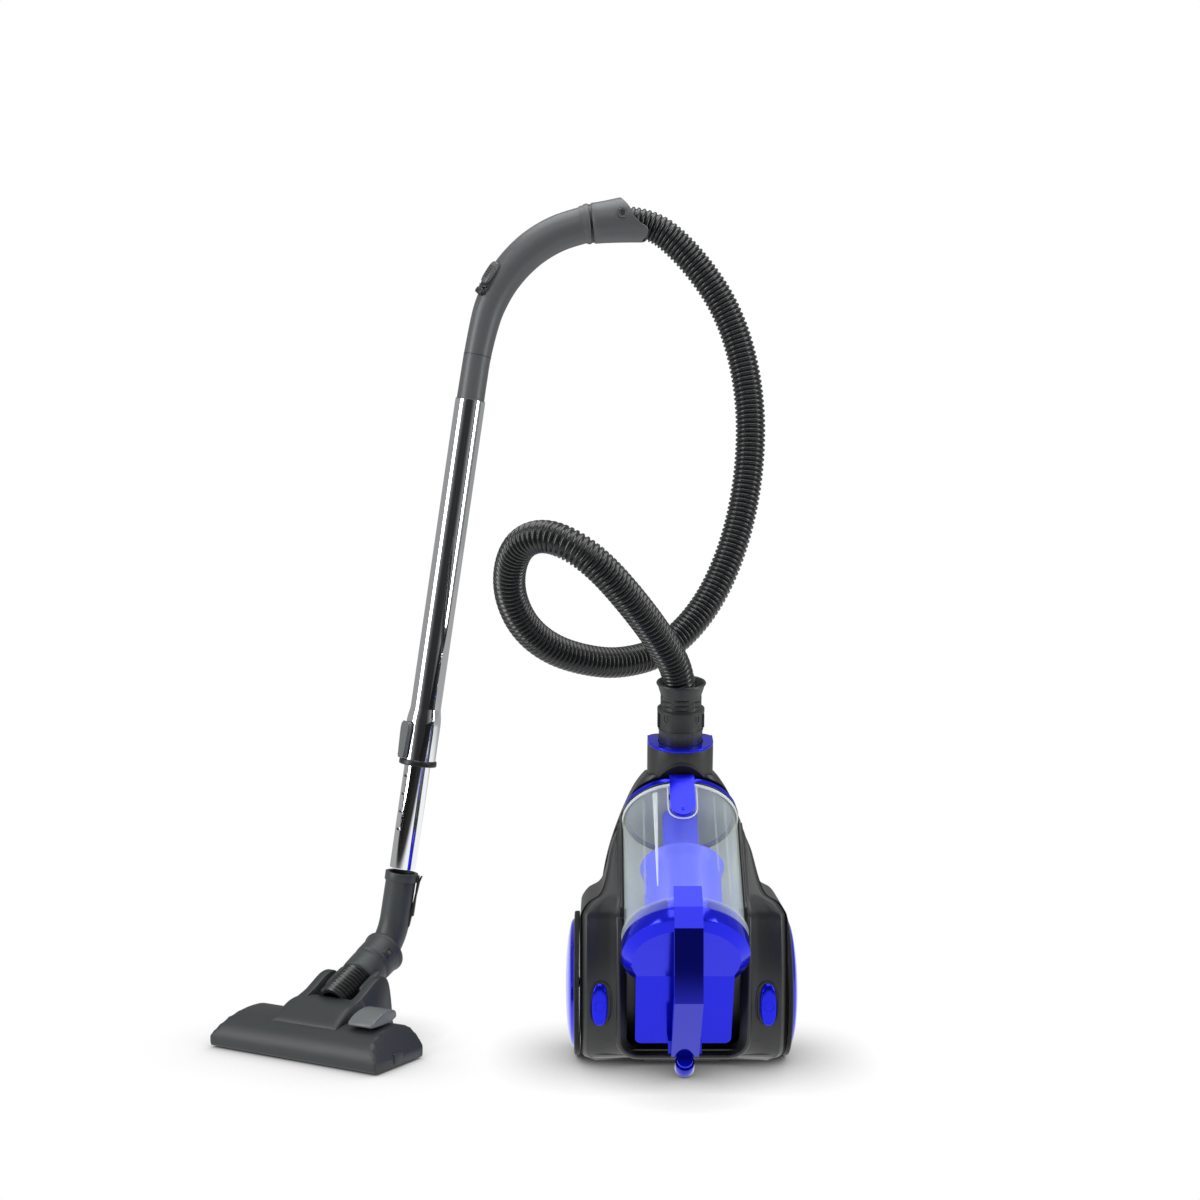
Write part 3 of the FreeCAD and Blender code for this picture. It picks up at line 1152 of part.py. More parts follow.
for word, x in (("left", -110.5), ("right", 98.5)):
    cut(word + "_roller", rod_from(word.title() + "RollerDisc", HEAD, "x", 6.5, 12, x, 36.5, 6.5),
        rod_from(word.title() + "RollerBore", HEAD, "x", 1.55, 20, x - 4, 36.5, 6.5))


# ---- checks and files --------------------------------------------------------------------------------

NODES = [
    "top_shell", "base_shell", "cradle", "port_collar", "inlet_duct", "intake_seal", "motor_can", "motor",
    "motor_mount", "fan", "cord_reel", "control_board", "exhaust_filter", "exhaust_grille", "cord_outlet",
    "button_wells", "power_button", "power_spring", "cord_button", "cord_spring", "stub_axles",
    "right_tyre", "right_hub", "left_tyre", "left_hub", "caster_yoke", "caster_wheel",
    "clear_cup", "bin_cap", "foam_filter", "carry_handle", "release_button", "release_spring",
    "cup_gasket", "cup_ring", "bin_lid", "lid_latch", "cyclone_column", "cyclone_bell", "swirl_vanes",
    "hose_cuff", "right_cuff_tab", "left_cuff_tab", "hose", "hose_end_collar",
    "grip", "suction_slider", "upper_tube", "lock_ring", "lock_slider", "lower_tube", "elbow",
    "neck_collar", "bellows", "head_cover", "sole_plate", "brush_strips", "pedal", "left_roller", "right_roller",
]
doc.recompute()
for item in doc.Objects:
    if "Invalid" in item.State or "Error" in item.State:
        raise RuntimeError("%s: %s %s" % (item.Name, item.State, item.getStatusString()))
os.makedirs("parts", exist_ok=True)
for name in NODES:
    item = doc.getObject(name)
    item.Label = name
    shape = item.Shape
    if shape.isNull() or not shape.isValid():
        raise RuntimeError(name + " has no valid shape")
    box_of = shape.optimalBoundingBox(False)
    print("%-18s %d solid(s) %8.1f cm3  X %6.1f..%6.1f  Y %6.1f..%6.1f  Z %6.1f..%6.1f" % (
        name, len(shape.Solids), shape.Volume / 1000, box_of.XMin, box_of.XMax, box_of.YMin, box_of.YMax,
        box_of.ZMin, box_of.ZMax))
    shape.exportStep("parts/%s.step" % name)
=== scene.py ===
"""Looks of the canister vacuum cleaner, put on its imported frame.

Lengths are in mm and angles in degrees, except where a value is multiplied by MM or says metres.
"""
import math

import bpy
from mathutils import Matrix, Vector


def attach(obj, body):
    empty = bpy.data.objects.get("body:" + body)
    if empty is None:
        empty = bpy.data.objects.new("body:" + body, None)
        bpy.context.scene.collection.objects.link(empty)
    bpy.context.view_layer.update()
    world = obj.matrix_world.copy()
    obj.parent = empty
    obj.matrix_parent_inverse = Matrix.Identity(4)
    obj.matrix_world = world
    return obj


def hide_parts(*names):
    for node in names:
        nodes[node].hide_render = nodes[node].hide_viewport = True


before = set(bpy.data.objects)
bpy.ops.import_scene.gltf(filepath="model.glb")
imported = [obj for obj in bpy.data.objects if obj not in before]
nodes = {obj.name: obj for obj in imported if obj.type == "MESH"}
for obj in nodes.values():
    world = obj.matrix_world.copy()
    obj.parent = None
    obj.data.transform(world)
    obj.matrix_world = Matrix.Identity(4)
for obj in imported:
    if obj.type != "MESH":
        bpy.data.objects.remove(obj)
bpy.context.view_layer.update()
scene = bpy.context.scene

MM = 0.001
WHITE = (1, 1, 1, 1)
SIDES = ((1, "right"), (-1, "left"))


# ---- local frames --------------------------------------------------------------------------------------

def place(x, y, z, axis="X", angle=0.0, parent=None):
    """A local frame: its origin and a turn about one axis, in the whole's frame or in its parent's."""
    own = Matrix.Translation((x, y, z)) @ Matrix.Rotation(math.radians(angle), 4, axis)
    return parent @ own if parent else own


UPRIGHT = 90
CUP_RISE = 44
PORT_LEAN = 14
WAND_LEAN = 8.25
GRIP_END_LEAN = 84
HEAD_YAW = 30
NECK_RISE = 24
WAND_Y = 139

# Local Z is the axis of the cup, the port, the wand, the grip's end and the neck; HEAD stands level.
WHOLE = place(0, 0, 0)
CUP = place(0, -143, 145, "X", CUP_RISE - UPRIGHT)
PORT = place(0, -5, 391, "X", PORT_LEAN)
WAND = place(-366.6, WAND_Y, 205.2, "Y", WAND_LEAN)
GRIP_END = place(-111.98, WAND_Y, 1075.07, "Y", GRIP_END_LEAN)
HEAD = place(-459.7, 2.6, 0, "Z", -HEAD_YAW)
NECK = place(0, 66, 68, "X", NECK_RISE - UPRIGHT, HEAD)


# ---- node trees ----------------------------------------------------------------------------------------

def feed(tree, node, inputs):
    """Gives a node's inputs, by name or number, a value or the socket of another node."""
    for socket, value in inputs.items():
        if isinstance(value, bpy.types.NodeSocket):
            tree.links.new(value, node.inputs[socket])
        else:
            node.inputs[socket].default_value = value


def new_node(tree, kind, inputs, **settings):
    """A new node with its settings and inputs."""
    node = tree.nodes.new(kind)
    for setting, value in settings.items():
        setattr(node, setting, value)
    feed(tree, node, inputs)
    return node


def eased(tree, value, low, high, start, end):
    """A socket that runs softly from start to end while value runs from low to high."""
    node = new_node(tree, "ShaderNodeMapRange", {
        "Value": value, "From Min": low, "From Max": high, "To Min": start, "To Max": end,
    }, interpolation_type="SMOOTHSTEP")
    return node.outputs["Result"]


def worked(tree, operation, first, second):
    """A socket with the result of one sum on two numbers or sockets."""
    node = new_node(tree, "ShaderNodeMath", {0: first, 1: second}, operation=operation)
    return node.outputs["Value"]


# ---- materials -----------------------------------------------------------------------------------------

GRAIN_DEPTH = 0.4 * MM
MOTTLE_SCALE = 14


def new_surface(name, colour, inputs):
    """A new material with its tree and shader; the colour is also that of its glow, which is painted light
    wherever a strength is given.
    """
    mat = bpy.data.materials.new(name)
    mat.use_nodes = True
    tree = mat.node_tree
    shader = tree.nodes["Principled BSDF"]
    feed(tree, shader, {"Base Color": (*colour, 1), "Emission Color": (*colour, 1), **inputs})
    return mat, tree, shader


def material(name, colour, rough, metal=0.0, coat=0.0, grain=0.0, scale=400.0, mottle=0.0, glow=0.0):
    """A procedural surface: a fine grain in its normals and a slow mottle in its roughness; a glow, where
    given, is painted light.
    """
    mat, tree, shader = new_surface(name, colour, {
        "Roughness": rough, "Metallic": metal, "Coat Weight": coat, "Coat Roughness": 0.05,
        "Emission Strength": glow})
    spot = new_node(tree, "ShaderNodeTexCoord", {}).outputs["Object"]
    if grain:
        noise = new_node(tree, "ShaderNodeTexNoise", {"Vector": spot, "Scale": scale, "Detail": 3})
        bump = new_node(tree, "ShaderNodeBump", {
            "Height": noise.outputs["Fac"], "Strength": grain, "Distance": GRAIN_DEPTH})
        feed(tree, shader, {"Normal": bump.outputs["Normal"]})
    if mottle:
        slow = new_node(tree, "ShaderNodeTexNoise", {"Vector": spot, "Scale": MOTTLE_SCALE})
        spread = new_node(tree, "ShaderNodeMapRange", {
            "Value": slow.outputs["Fac"], "To Min": rough - mottle, "To Max": rough + mottle})
        feed(tree, shader, {"Roughness": spread.outputs["Result"]})
    return mat


def moulding(name, colour, rough, grain, mottle=0.03):
    """A matt moulded plastic with a fine grain."""
    return material(name, colour, rough, grain=grain, scale=900, mottle=mottle)


charcoal = moulding("charcoal moulding", (0.020, 0.021, 0.022), 0.40, 0.10)
head_grey = moulding("floor head moulding", (0.036, 0.042, 0.044), 0.46, 0.12)
cover_grey = moulding("floor head cover", (0.021, 0.025, 0.026), 0.48, 0.12)
charcoal_light = moulding("grey moulding", (0.070, 0.073, 0.078), 0.40, 0.12)
pedal_grey = moulding("pedal grey", (0.115, 0.125, 0.128), 0.36, 0.08)
black = moulding("black moulding", (0.010, 0.010, 0.011), 0.38, 0.05, mottle=0.0)
felt = moulding("filter felt", (0.7, 0.7, 0.66), 0.9, 0.6, mottle=0.0)
rubber = material("soft black", (0.010, 0.011, 0.012), 0.30, grain=0.05, scale=700)
tyre_grey = material("tyre", (0.02, 0.021, 0.022), 0.6, grain=0.2, scale=600)
hose_black = material("hose skin", (0.013, 0.014, 0.015), 0.24, grain=0.05, scale=600, mottle=0.04)
blue = material("blue gloss", (0.008, 0.012, 0.80), 0.14, metal=0.7, coat=0.08, mottle=0.02)
deep_blue = material("blue mirror gloss", (0.010, 0.014, 0.52), 0.09, metal=0.85, coat=0.25, mottle=0.02)
# The cyclone's core and bell glow a little: painted light that keeps them bright where they sit in shade
# behind the cup.
core_blue_painted_glow = material("blue core painted glow", (0.02, 0.03, 0.80), 0.3, mottle=0.03, glow=0.12)
bell_blue_painted_glow = material("blue satin painted glow", (0.040, 0.060, 0.84), 0.4, mottle=0.03, glow=0.08)
chrome = material("chrome tube", (0.86, 0.87, 0.89), 0.05, metal=1.0, mottle=0.01)
steel = material("plain steel", (0.5, 0.5, 0.52), 0.3, metal=1.0, mottle=0.03)
grey_plastic = material("light grey moulding", (0.42, 0.46, 0.44), 0.35, mottle=0.03)
board = material("circuit board", (0.02, 0.16, 0.05), 0.4, mottle=0.03)


def clear_plastic(name, colour, density, far=None):
    """Thin clear plastic, denser at grazing angles, with a faint painted glow that lightens it where it lies
    in shade; far is its density behind the cup's axis.
    """
    # Emission Strength 0.15 is a painted glow: it lightens the cup, whose far half sits in shade.
    mat, tree, shader = new_surface(name, colour, {
        "Roughness": 0.06, "Coat Weight": 0.2, "Emission Strength": 0.15})
    weight = new_node(tree, "ShaderNodeLayerWeight", {"Blend": 0.2})
    spread = new_node(tree, "ShaderNodeMapRange", {
        "Value": weight.outputs["Facing"], "To Min": density, "To Max": min(1.0, density + 0.5)})
    alpha = spread.outputs["Result"]
    if far is not None:
        cup_front = [round(share, 3) for share in CUP.to_3x3() @ Vector((0, -1, 0))]
        middle, half = 0.1986, 0.02
        spot = new_node(tree, "ShaderNodeTexCoord", {}).outputs["Object"]
        ahead = new_node(tree, "ShaderNodeVectorMath", {0: spot, 1: cup_front}, operation="DOT_PRODUCT")
        behind = eased(tree, ahead.outputs["Value"], middle - half, middle + half, far, 0.0)
        alpha = worked(tree, "MAXIMUM", behind, alpha)
    feed(tree, shader, {"Alpha": alpha})
    return mat


clear = clear_plastic("clear cup", (0.68, 0.76, 0.69), 0.0, far=0.85)
rib_clear = clear_plastic("clear rib", (0.86, 0.92, 0.90), 0.3)

PAINT = {
    charcoal: "top_shell base_shell hose_cuff right_cuff_tab left_cuff_tab exhaust_grille",
    head_grey: "elbow neck_collar",
    cover_grey: "head_cover",
    charcoal_light: "grip hose_end_collar",
    black: "cradle inlet_duct button_wells lock_ring suction_slider cord_outlet caster_yoke cord_reel"
           " motor_can fan sole_plate",
    blue: "port_collar power_button cord_button right_hub left_hub bin_cap release_button cup_ring"
          " lid_latch",
    deep_blue: "carry_handle",
    core_blue_painted_glow: "cyclone_column",
    bell_blue_painted_glow: "cyclone_bell",
    clear: "clear_cup",
    grey_plastic: "swirl_vanes bin_lid",
    pedal_grey: "pedal lock_slider",
    rubber: "intake_seal motor_mount cup_gasket bellows brush_strips",
    tyre_grey: "right_tyre left_tyre caster_wheel left_roller right_roller",
    steel: "motor stub_axles power_spring cord_spring release_spring",
    chrome: "upper_tube lower_tube",
    hose_black: "hose",
    felt: "foam_filter exhaust_filter",
    board: "control_board",
}


def paint_solids():
    """Gives every CAD node its material."""
    for mat, names in PAINT.items():
        for name in names.split():
            for slot in nodes[name].material_slots:
                slot.material = mat


# ---- rounded edges -------------------------------------------------------------------------------------

PLAIN_EDGE = 0.8
OWN_EDGE = {
    0.5: "swirl_vanes right_cuff_tab left_cuff_tab suction_slider lock_slider port_collar",
    1.2: "carry_handle bin_cap head_cover base_shell power_button cord_button",
}
WELD_GAP = 0.02 * MM


def round_edges(obj, width, sharpest):
    """Rounds the edges that are sharper than an angle."""
    edge = obj.modifiers.new("rounded", "BEVEL")
    edge.width = MM * width
    edge.segments = 3
    edge.limit_method = "ANGLE"
    edge.angle_limit = math.radians(sharpest)
    edge.harden_normals = True


def round_solids():
    """Joins each solid's faces and rounds its edges; the scene shows a hose of its own."""
    widths = {name: width for width, names in OWN_EDGE.items() for name in names.split()}
    for name, solid in nodes.items():
        if name != "hose":
            solid.modifiers.new("joined", "WELD").merge_threshold = WELD_GAP
            round_edges(solid, widths.get(name, PLAIN_EDGE), 35)


# ---- meshes --------------------------------------------------------------------------------------------

def build(name, points, faces, where, mat, sharp):
    """A smooth-shaded mesh from local points."""
    mesh = bpy.data.meshes.new(name)
    mesh.from_pydata([MM * (where @ Vector(p)) for p in points], [], faces)
    mesh.update()
    obj = bpy.data.objects.new(name, mesh)
    bpy.context.collection.objects.link(obj)
    mesh.materials.append(mat)
    for polygon in mesh.polygons:
        polygon.use_smooth = True
    mesh.set_sharp_from_angle(angle=math.radians(sharp))
    return obj


def grid(rows, count, round_rows, round_count):
    """Quads over rows of as many points each, closed along either way where asked."""
    quads = []
    for r in range(rows if round_rows else rows - 1):
        near, far = r * count, (r + 1) % rows * count
        for i in range(count if round_count else count - 1):
            j = (i + 1) % count
            quads.append((near + i, near + j, far + j, far + i))
    return quads


def skin(name, rings, where, mat, closed=True, caps=True, sharp=35.0):
    """A surface through rings of as many points each; caps close its two ends."""
    count = len(rings[0])
    points = [p for ring in rings for p in ring]
    faces = grid(len(rings), count, False, closed)
    if caps:
        faces.append(tuple(range(count))[::-1])
        faces.append(tuple(range(len(points) - count, len(points))))
    return build(name, points, faces, where, mat, sharp)


def turned(name, profile, where, mat, steps=96, sharp=35.0):
    """A closed profile of (radius, height) points, turned about local Z."""
    points = []
    for k in range(steps):
        a = math.tau * k / steps
        points += [(r * math.cos(a), r * math.sin(a), z) for r, z in profile]
    faces = [(a, d, c, b) for a, b, c, d in grid(steps, len(profile), True, True)]
    return build(name, points, faces, where, mat, sharp)


def tube_along(name, points, radii, mat, sides):
    """A round tube on a path in metres, with a radius in metres for each point."""
    rings = []
    side = (points[1] - points[0]).normalized().orthogonal().normalized()
    for i, centre in enumerate(points):
        ahead = points[min(i + 1, len(points) - 1)] - points[max(i - 1, 0)]
        ahead.normalize()
        side = (side - ahead * side.dot(ahead)).normalized()
        other = ahead.cross(side)
        ring = []
        for k in range(sides):
            a = math.tau * k / sides
            ring.append((centre + (side * math.cos(a) + other * math.sin(a)) * radii[i]) / MM)
        rings.append(ring)
    return skin(name, rings, WHOLE, mat, sharp=80)


def wire(name, points, radius, where, mat, sides=10):
    """A thin round bead along local points."""
    path = [MM * (where @ Vector(p)) for p in points]
    return tube_along(name, path, [radius * MM] * len(points), mat, sides)


RIM = ((1, 0), (0.3, 0.35), (0, 1))


def soft_block(name, outline, low, high, where, mat, inset, axis="z"):
    """A plate of an outline between two levels along an axis, its rims drawn in by inset."""
    middle = (sum(p[0] for p in outline) / len(outline), sum(p[1] for p in outline) / len(outline))
    reach = max(math.dist(p, middle) for p in outline)
    levels = [(share, low + inset * rise) for share, rise in RIM]
    levels += [(share, high - inset * rise) for share, rise in reversed(RIM)]
    rings = []
    for share, level in levels:
        fit = 1 - inset * share / reach
        ring = []
        for x, y in outline:
            u, v = middle[0] + (x - middle[0]) * fit, middle[1] + (y - middle[1]) * fit
            ring.append({"z": (u, v, level), "x": (level, u, v), "y": (u, level, v)}[axis])
        rings.append(ring)
    return skin(name, rings, where, mat, sharp=50)


def add(obj, body, *replaced):
    """Puts a piece on its body and hides the CAD nodes it stands for."""
    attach(obj, body)
    if replaced:
        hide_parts(*replaced)
    return obj


# ---- lines and values ----------------------------------------------------------------------------------

OVAL_STEPS = 48


def smooth(low, high, value):
    """0 up to low, 1 from high on, and an S-curve between."""
    t = min(1.0, max(0.0, (value - low) / (high - low)))
    return t * t * (3 - 2 * t)


def along(table, value):
    """Smooth value from a short table of (place, value) pairs."""
    if value <= table[0][0]:
        return table[0][1]
    for k in range(len(table) - 1):
        (x0, y0), (x1, y1) = table[k], table[k + 1]
        if value <= x1:
            before = table[k - 1] if k else (2 * x0 - x1, 2 * y0 - y1)
            after = table[k + 2] if k + 2 < len(table) else (2 * x1 - x0, 2 * y1 - y0)
            span = x1 - x0
            m0 = (y1 - before[1]) / (x1 - before[0]) * span
            m1 = (after[1] - y0) / (after[0] - x0) * span
            t = (value - x0) / span
            return ((2 * t**3 - 3 * t**2 + 1) * y0 + (t**3 - 2 * t**2 + t) * m0
                    + (3 * t**2 - 2 * t**3) * y1 + (t**3 - t**2) * m1)
    return table[-1][1]


def joined_path(corners, steps, plain_ends=False):
    """A smooth path through a few corners; plain ends leave its first and last spans straight."""
    points = []
    last = len(corners) - 1
    for k in range(last):
        p0, p1, p2, p3 = corners[max(k - 1, 0)], corners[k], corners[k + 1], corners[min(k + 2, last)]
        for i in range(1 if plain_ends and k in (0, last - 1) else steps):
            t = i / steps
            points.append(tuple(
                0.5 * (2 * b + (c - a) * t + (2 * a - 5 * b + 4 * c - d) * t * t
                       + (3 * b - a - 3 * c + d) * t**3)
                for a, b, c, d in zip(p0, p1, p2, p3)))
    points.append(tuple(corners[-1]))
    return points


def looped_path(corners, steps):
    """The same through corners that come round to the first."""
    return joined_path(corners + [corners[0]], steps)[:-1]


def oval_line(x, y, wide, tall, power):
    """A closed oval; a power above 2 squares it towards a rounded rectangle."""
    points = []
    for k in range(OVAL_STEPS):
        a = math.tau * k / OVAL_STEPS
        c, q = math.cos(a), math.sin(a)
        points.append((x + wide * math.copysign(abs(c) ** (2 / power), c),
                       y + tall * math.copysign(abs(q) ** (2 / power), q)))
    return points


def on_wall(angle, radius, z):
    """A point of a round wall, its angle in radians from the front, which is local -Y."""
    return (math.sin(angle) * radius, -math.cos(angle) * radius, z)


def both_sides(half):
    """(x, value) stations across the middle, from the middle one and those on its right."""
    return [(-x, value) for x, value in reversed(half[1:])] + half


def run_of(points, unit=1.0):
    """Length of a path up to each of its points."""
    lengths = [0.0]
    for a, b in zip(points, points[1:]):
        lengths.append(lengths[-1] + (b - a).length / unit)
    return lengths


def resample(points, step):
    """Evenly spaced points, about a step apart, and the total length."""
    lengths = run_of(points)
    total = lengths[-1]
    count = int(total / step)
    result, k = [], 0
    for i in range(count + 1):
        want = total * i / count
        while k < len(points) - 2 and lengths[k + 1] < want:
            k += 1
        span = lengths[k + 1] - lengths[k]
        result.append(points[k].lerp(points[k + 1], (want - lengths[k]) / span if span else 0))
    return result, total


# ---- camera --------------------------------------------------------------------------------------------

def set_camera():
    """A level view from the front, with Standard colours."""
    camera = bpy.data.cameras.new("camera")
    camera.lens = 50
    camera.sensor_width = 36
    view = bpy.data.objects.new("camera", camera)
    view.location = (-0.101, -2.097, 0.570)
    view.rotation_euler = (math.pi / 2, 0, 0)
    bpy.context.collection.objects.link(view)
    scene.camera = view
    scene.view_settings.view_transform = "Standard"


# ---- hose ----------------------------------------------------------------------------------------------

HOSE_ROUTE = [
    (0, -14.68, 429.8), (0, -25.8, 474.4),
    (-26, -62, 520), (-60, -98, 565), (-99, -122, 609), (-135, -131, 636), (-169, -118, 648),
    (-197, -93, 639), (-212, -63, 611), (-213, -35, 574), (-196, -8, 535), (-163, 17, 507),
    (-119, 43, 492), (-74, 72, 487), (-18, 112, 500), (40, 138, 556), (80, 152, 640),
    (102, 157, 742), (103, 157, 850), (76, 153, 955), (20, 146, 1035),
    (-40.4, WAND_Y, 1082.6), (-92.1, WAND_Y, 1077.2),
]
HOSE_PITCH = 6.4
HOSE_SIDES = 36
CREST, SLOPE, VALLEY = 20.0, 18.4, 17.4
HOSE_RIB = (CREST, CREST, CREST, SLOPE, VALLEY, SLOPE)


def curved_track(corners):
    """Points, in metres, of a smooth curve with the given control points."""
    curve = bpy.data.curves.new("hose line", "CURVE")
    curve.dimensions = "3D"
    spline = curve.splines.new("NURBS")
    spline.points.add(len(corners) - 1)
    for point, corner in zip(spline.points, corners):
        point.co = (*[MM * value for value in corner], 1)
    spline.order_u = 3
    spline.use_endpoint_u = True
    spline.resolution_u = 24
    line = bpy.data.objects.new("hose line", curve)
    bpy.context.collection.objects.link(line)
    flat = bpy.data.meshes.new_from_object(line)
    track = [v.co.copy() for v in flat.vertices]
    bpy.data.objects.remove(line)
    return track


def make_hose():
    """The ribbed hose: each rib takes six points of the path, whose radii repeat."""
    samples, length = resample(curved_track(HOSE_ROUTE), MM * HOSE_PITCH / len(HOSE_RIB))
    radii = [MM * HOSE_RIB[i % len(HOSE_RIB)] for i in range(len(samples))]
    hose = add(tube_along("ribbed_hose", samples, radii, hose_black, HOSE_SIDES), "canister", "hose")


# ---- front moulding of the housing ---------------------------------------------------------------------

# Half width and front of the housing as (height, value).
SIDE = [(2, 113), (8, 120), (18, 124.2), (40, 124.8), (182, 124.8), (190, 124.6), (195, 122.4),
        (200.6, 118.6), (205, 114.2), (207.5, 109.5), (211, 103.2), (217, 98.4), (228, 94.4), (238, 92.0),
        (248, 90.0), (260, 87.2), (271, 83.0), (280, 78.6), (286, 76.4), (292, 75.4)]
NOSE = [(2, -30), (10, -55), (26, -74), (52, -88.5), (88, -95.5), (125, -98), (160, -95), (190, -87.5),
        (200, -79), (211, -66), (230, -50)]
HOUSING_FOOT = 2.0
HOUSING_TOP = 290
PARTING = 30
RETURN_FLANGE = 17
POD_TOP = (184, 214)

RECESS_HALF = 77
SILL = 14
CORNER = 24
CORNER_WIDE = 25
CORNER_TOP = SILL + CORNER
DECK_SLOPE = 1.0345

# The bead's outline as (towards the recess, back from the nose).
EDGE_BEAD = [(-5.5, 2.2), (-4.2, 0.2), (-2.8, -1.5), (-1.2, -2.1), (0.2, -1.5), (1.0, 0.2), (1.6, 1.6),
             (8.2, 10.5), (8.4, 16)]


def deck(z):
    """Front of the flank beside the cup: it rises with the cup and runs back at its top."""
    return -144 + (z - 145) * DECK_SLOPE + 20 * smooth(262, 291, z)


def recess_side(z):
    """Edge of the recess above its lower corners: it narrows a little where the pod ends."""
    return RECESS_HALF - 1.4 * smooth(180, 205, z)


def inner_edge(z):
    """Edge of the recess at any height."""
    if z <= SILL:
        return 0.0
    if z < CORNER_TOP:
        reach = math.sqrt(max(0.0, CORNER * CORNER - (CORNER_TOP - z) ** 2))
        return RECESS_HALF - CORNER_WIDE + reach * CORNER_WIDE / CORNER
    return recess_side(z) - 0.8 * smooth(270, 296, z)


def pod_section(z):
    """The wheel pod's front from the recess out to its side and back to the parting plane."""
    wide, nose, inner = along(SIDE, z), along(NOSE, z), inner_edge(z)
    shoulder = wide - 14
    first, second, third = 84, 91, 102
    if z < CORNER_TOP:
        first = inner + 7
        second, third = first * 0.6 + shoulder * 0.4, first * 0.3 + shoulder * 0.7
    return [(inner, nose + 12), (inner + 0.2, nose + 0.6), (inner + 1.6, nose + 0.2),
            (inner + 3.6, nose + 0.5), (first, nose + 1.5), (second, nose + 3.2), (third, nose + 2.8),
            (shoulder, nose), (wide - 9.6, nose - 1.8), (wide - 7.2, nose - 1.6),
            (wide - 1.0, nose + 6.0), (wide, nose + 11), (wide, PARTING)]


def flank_section(z):
    """The flank beside the cup, with as many points."""
    wide, front, inner = along(SIDE, z), deck(z), inner_edge(z)
    start = inner + 4.5
    points = [(inner, front + 12), (inner + 0.2, front + 0.2), (inner + 1.2, front - 1.4),
              (inner + 2.6, front - 0.8), (start, front + 0.8)]
    for share, back in ((0.2, 0.4), (0.4, 0.2), (0.6, 0.4), (0.76, 1.2), (0.88, 3.2), (0.97, 6.5), (1, 12)):
        points.append((start + (wide - start) * share, front + back))
    return points + [(wide, max(float(PARTING), front + 13))]


def section(z):
    """Half section of the moulding at one height: the pod below, the flank above, mixed between."""
    mix = smooth(*POD_TOP, z)
    return [(a[0] * (1 - mix) + b[0] * mix, a[1] * (1 - mix) + b[1] * mix)
            for a, b in zip(pod_section(z), flank_section(z))]


def face_y(x, z):
    """Depth of the moulding's front at a place."""
    line = section(z)
    for (x0, y0), (x1, y1) in zip(line, line[1:]):
        if x0 < x1 and x0 <= abs(x) <= x1:
            return y0 + (y1 - y0) * (abs(x) - x0) / (x1 - x0)
    return line[-1][1]


def section_heights():
    """Heights of the sections, closer at the foot and where the pod turns into the flank."""
    heights = [HOUSING_FOOT]
    while heights[-1] < HOUSING_TOP:
        z = heights[-1]
        heights.append(z + (1.5 if z < 40 or 180 < z < 222 else 4.0))
    return heights[:-1]


def recess_path():
    """The recess's edge in (X, Z), from the right top round the floor to the left top."""
    points = [(recess_side(z), z) for z in range(196, 40, -6)]
    for k in range(11):
        a = math.pi / 2 * k / 10
        points.append((RECESS_HALF - CORNER_WIDE + CORNER_WIDE * math.cos(a),
                       CORNER_TOP - CORNER * math.sin(a)))
    points += [(x, SILL) for x in range(42, -1, -10)]
    return points + [(-x, z) for x, z in reversed(points[:-1])]


def make_recess_rim():
    """A bead along the recess's edge; its crest sinks in where the pod ends."""
    rings = []
    path = recess_path()
    for k, (x, z) in enumerate(path):
        ahead = Vector(path[min(k + 1, len(path) - 1)]) - Vector(path[max(k - 1, 0)])
        inward = Vector((ahead.y, -ahead.x)).normalized()
        if inward.dot(Vector((-x, 90 - z))) < 0:
            inward = -inward
        nose = along(NOSE, z)
        lift = 1 - smooth(170, 196, z)
        rings.append([(x + inward.x * a, nose + (b * lift if b < 0 else b), z + inward.y * a)
                      for a, b in EDGE_BEAD])
    add(skin("recess_rim", rings, WHOLE, charcoal, closed=False, caps=False, sharp=50), "canister")


def make_housing():
    """The front moulding's two halves, each with a flange turned in at the parting plane."""
    for side, word in SIDES:
        rings = []
        for z in section_heights():
            line = joined_path(section(z), 4, plain_ends=True)
            edge_x, edge_y = line[-1]
            line.append((edge_x - RETURN_FLANGE, edge_y + 0.3))
            rings.append([(side * x, y, z) for x, y in line])
        add(skin(word + "_moulding", rings, WHOLE, charcoal, closed=False, caps=False, sharp=60),
            "canister", "top_shell")
    make_recess_rim()


# ---- wheels and push buttons ---------------------------------------------------------------------------

AXLE_Z = 89.3
TREAD_RADIUS = 88.6
TREAD_GROOVE = 0.5
TREAD_FROM, TREAD_PITCH = 127.0, 0.55
TYRE_INNER = [(83, 126.4), (87.6, 126.4)]
TYRE_OUTER = [(87.8, 132.2), (86.6, 132.9), (84.6, 132.6), (83, 131)]
HUB_RIM = [(82.9, 127.4), (82.9, 131.6), (82.0, 132.6)]
HUB_EDGE, HUB_LEVEL, HUB_RISE = 79, 133.4, 10.6
HUB_MIDDLE = [(0.2, HUB_LEVEL + HUB_RISE), (0.2, 127.4)]

KEY_X, KEY_Z = 101.6, 84
KEY_HALF, KEY_TALL = 10.2, 25.6
WELL_HALF, WELL_TALL = 11.6, 27
# How far the well's painted shade reaches out on the inner side.
WELL_SHADE_INNER = 3.4
KEY_LAYERS = [(0.0, -91), (0.0, -94.6), (-0.5, -95.8), (-1.6, -96.9), (-3.4, -97.7), (-6.0, -98.1),
              (-9.2, -98.2)]
KEY_MARK = [(6.4, -0.5), (6.3, 0.35), (5.9, 0.55), (5.5, 0.35), (5.4, -0.5)]
WELL_LAYERS = [(1.0, -0.5), (1.02, 0.5), (0.96, 0.8), (0.9, 0.2), (0.89, -4.0)]


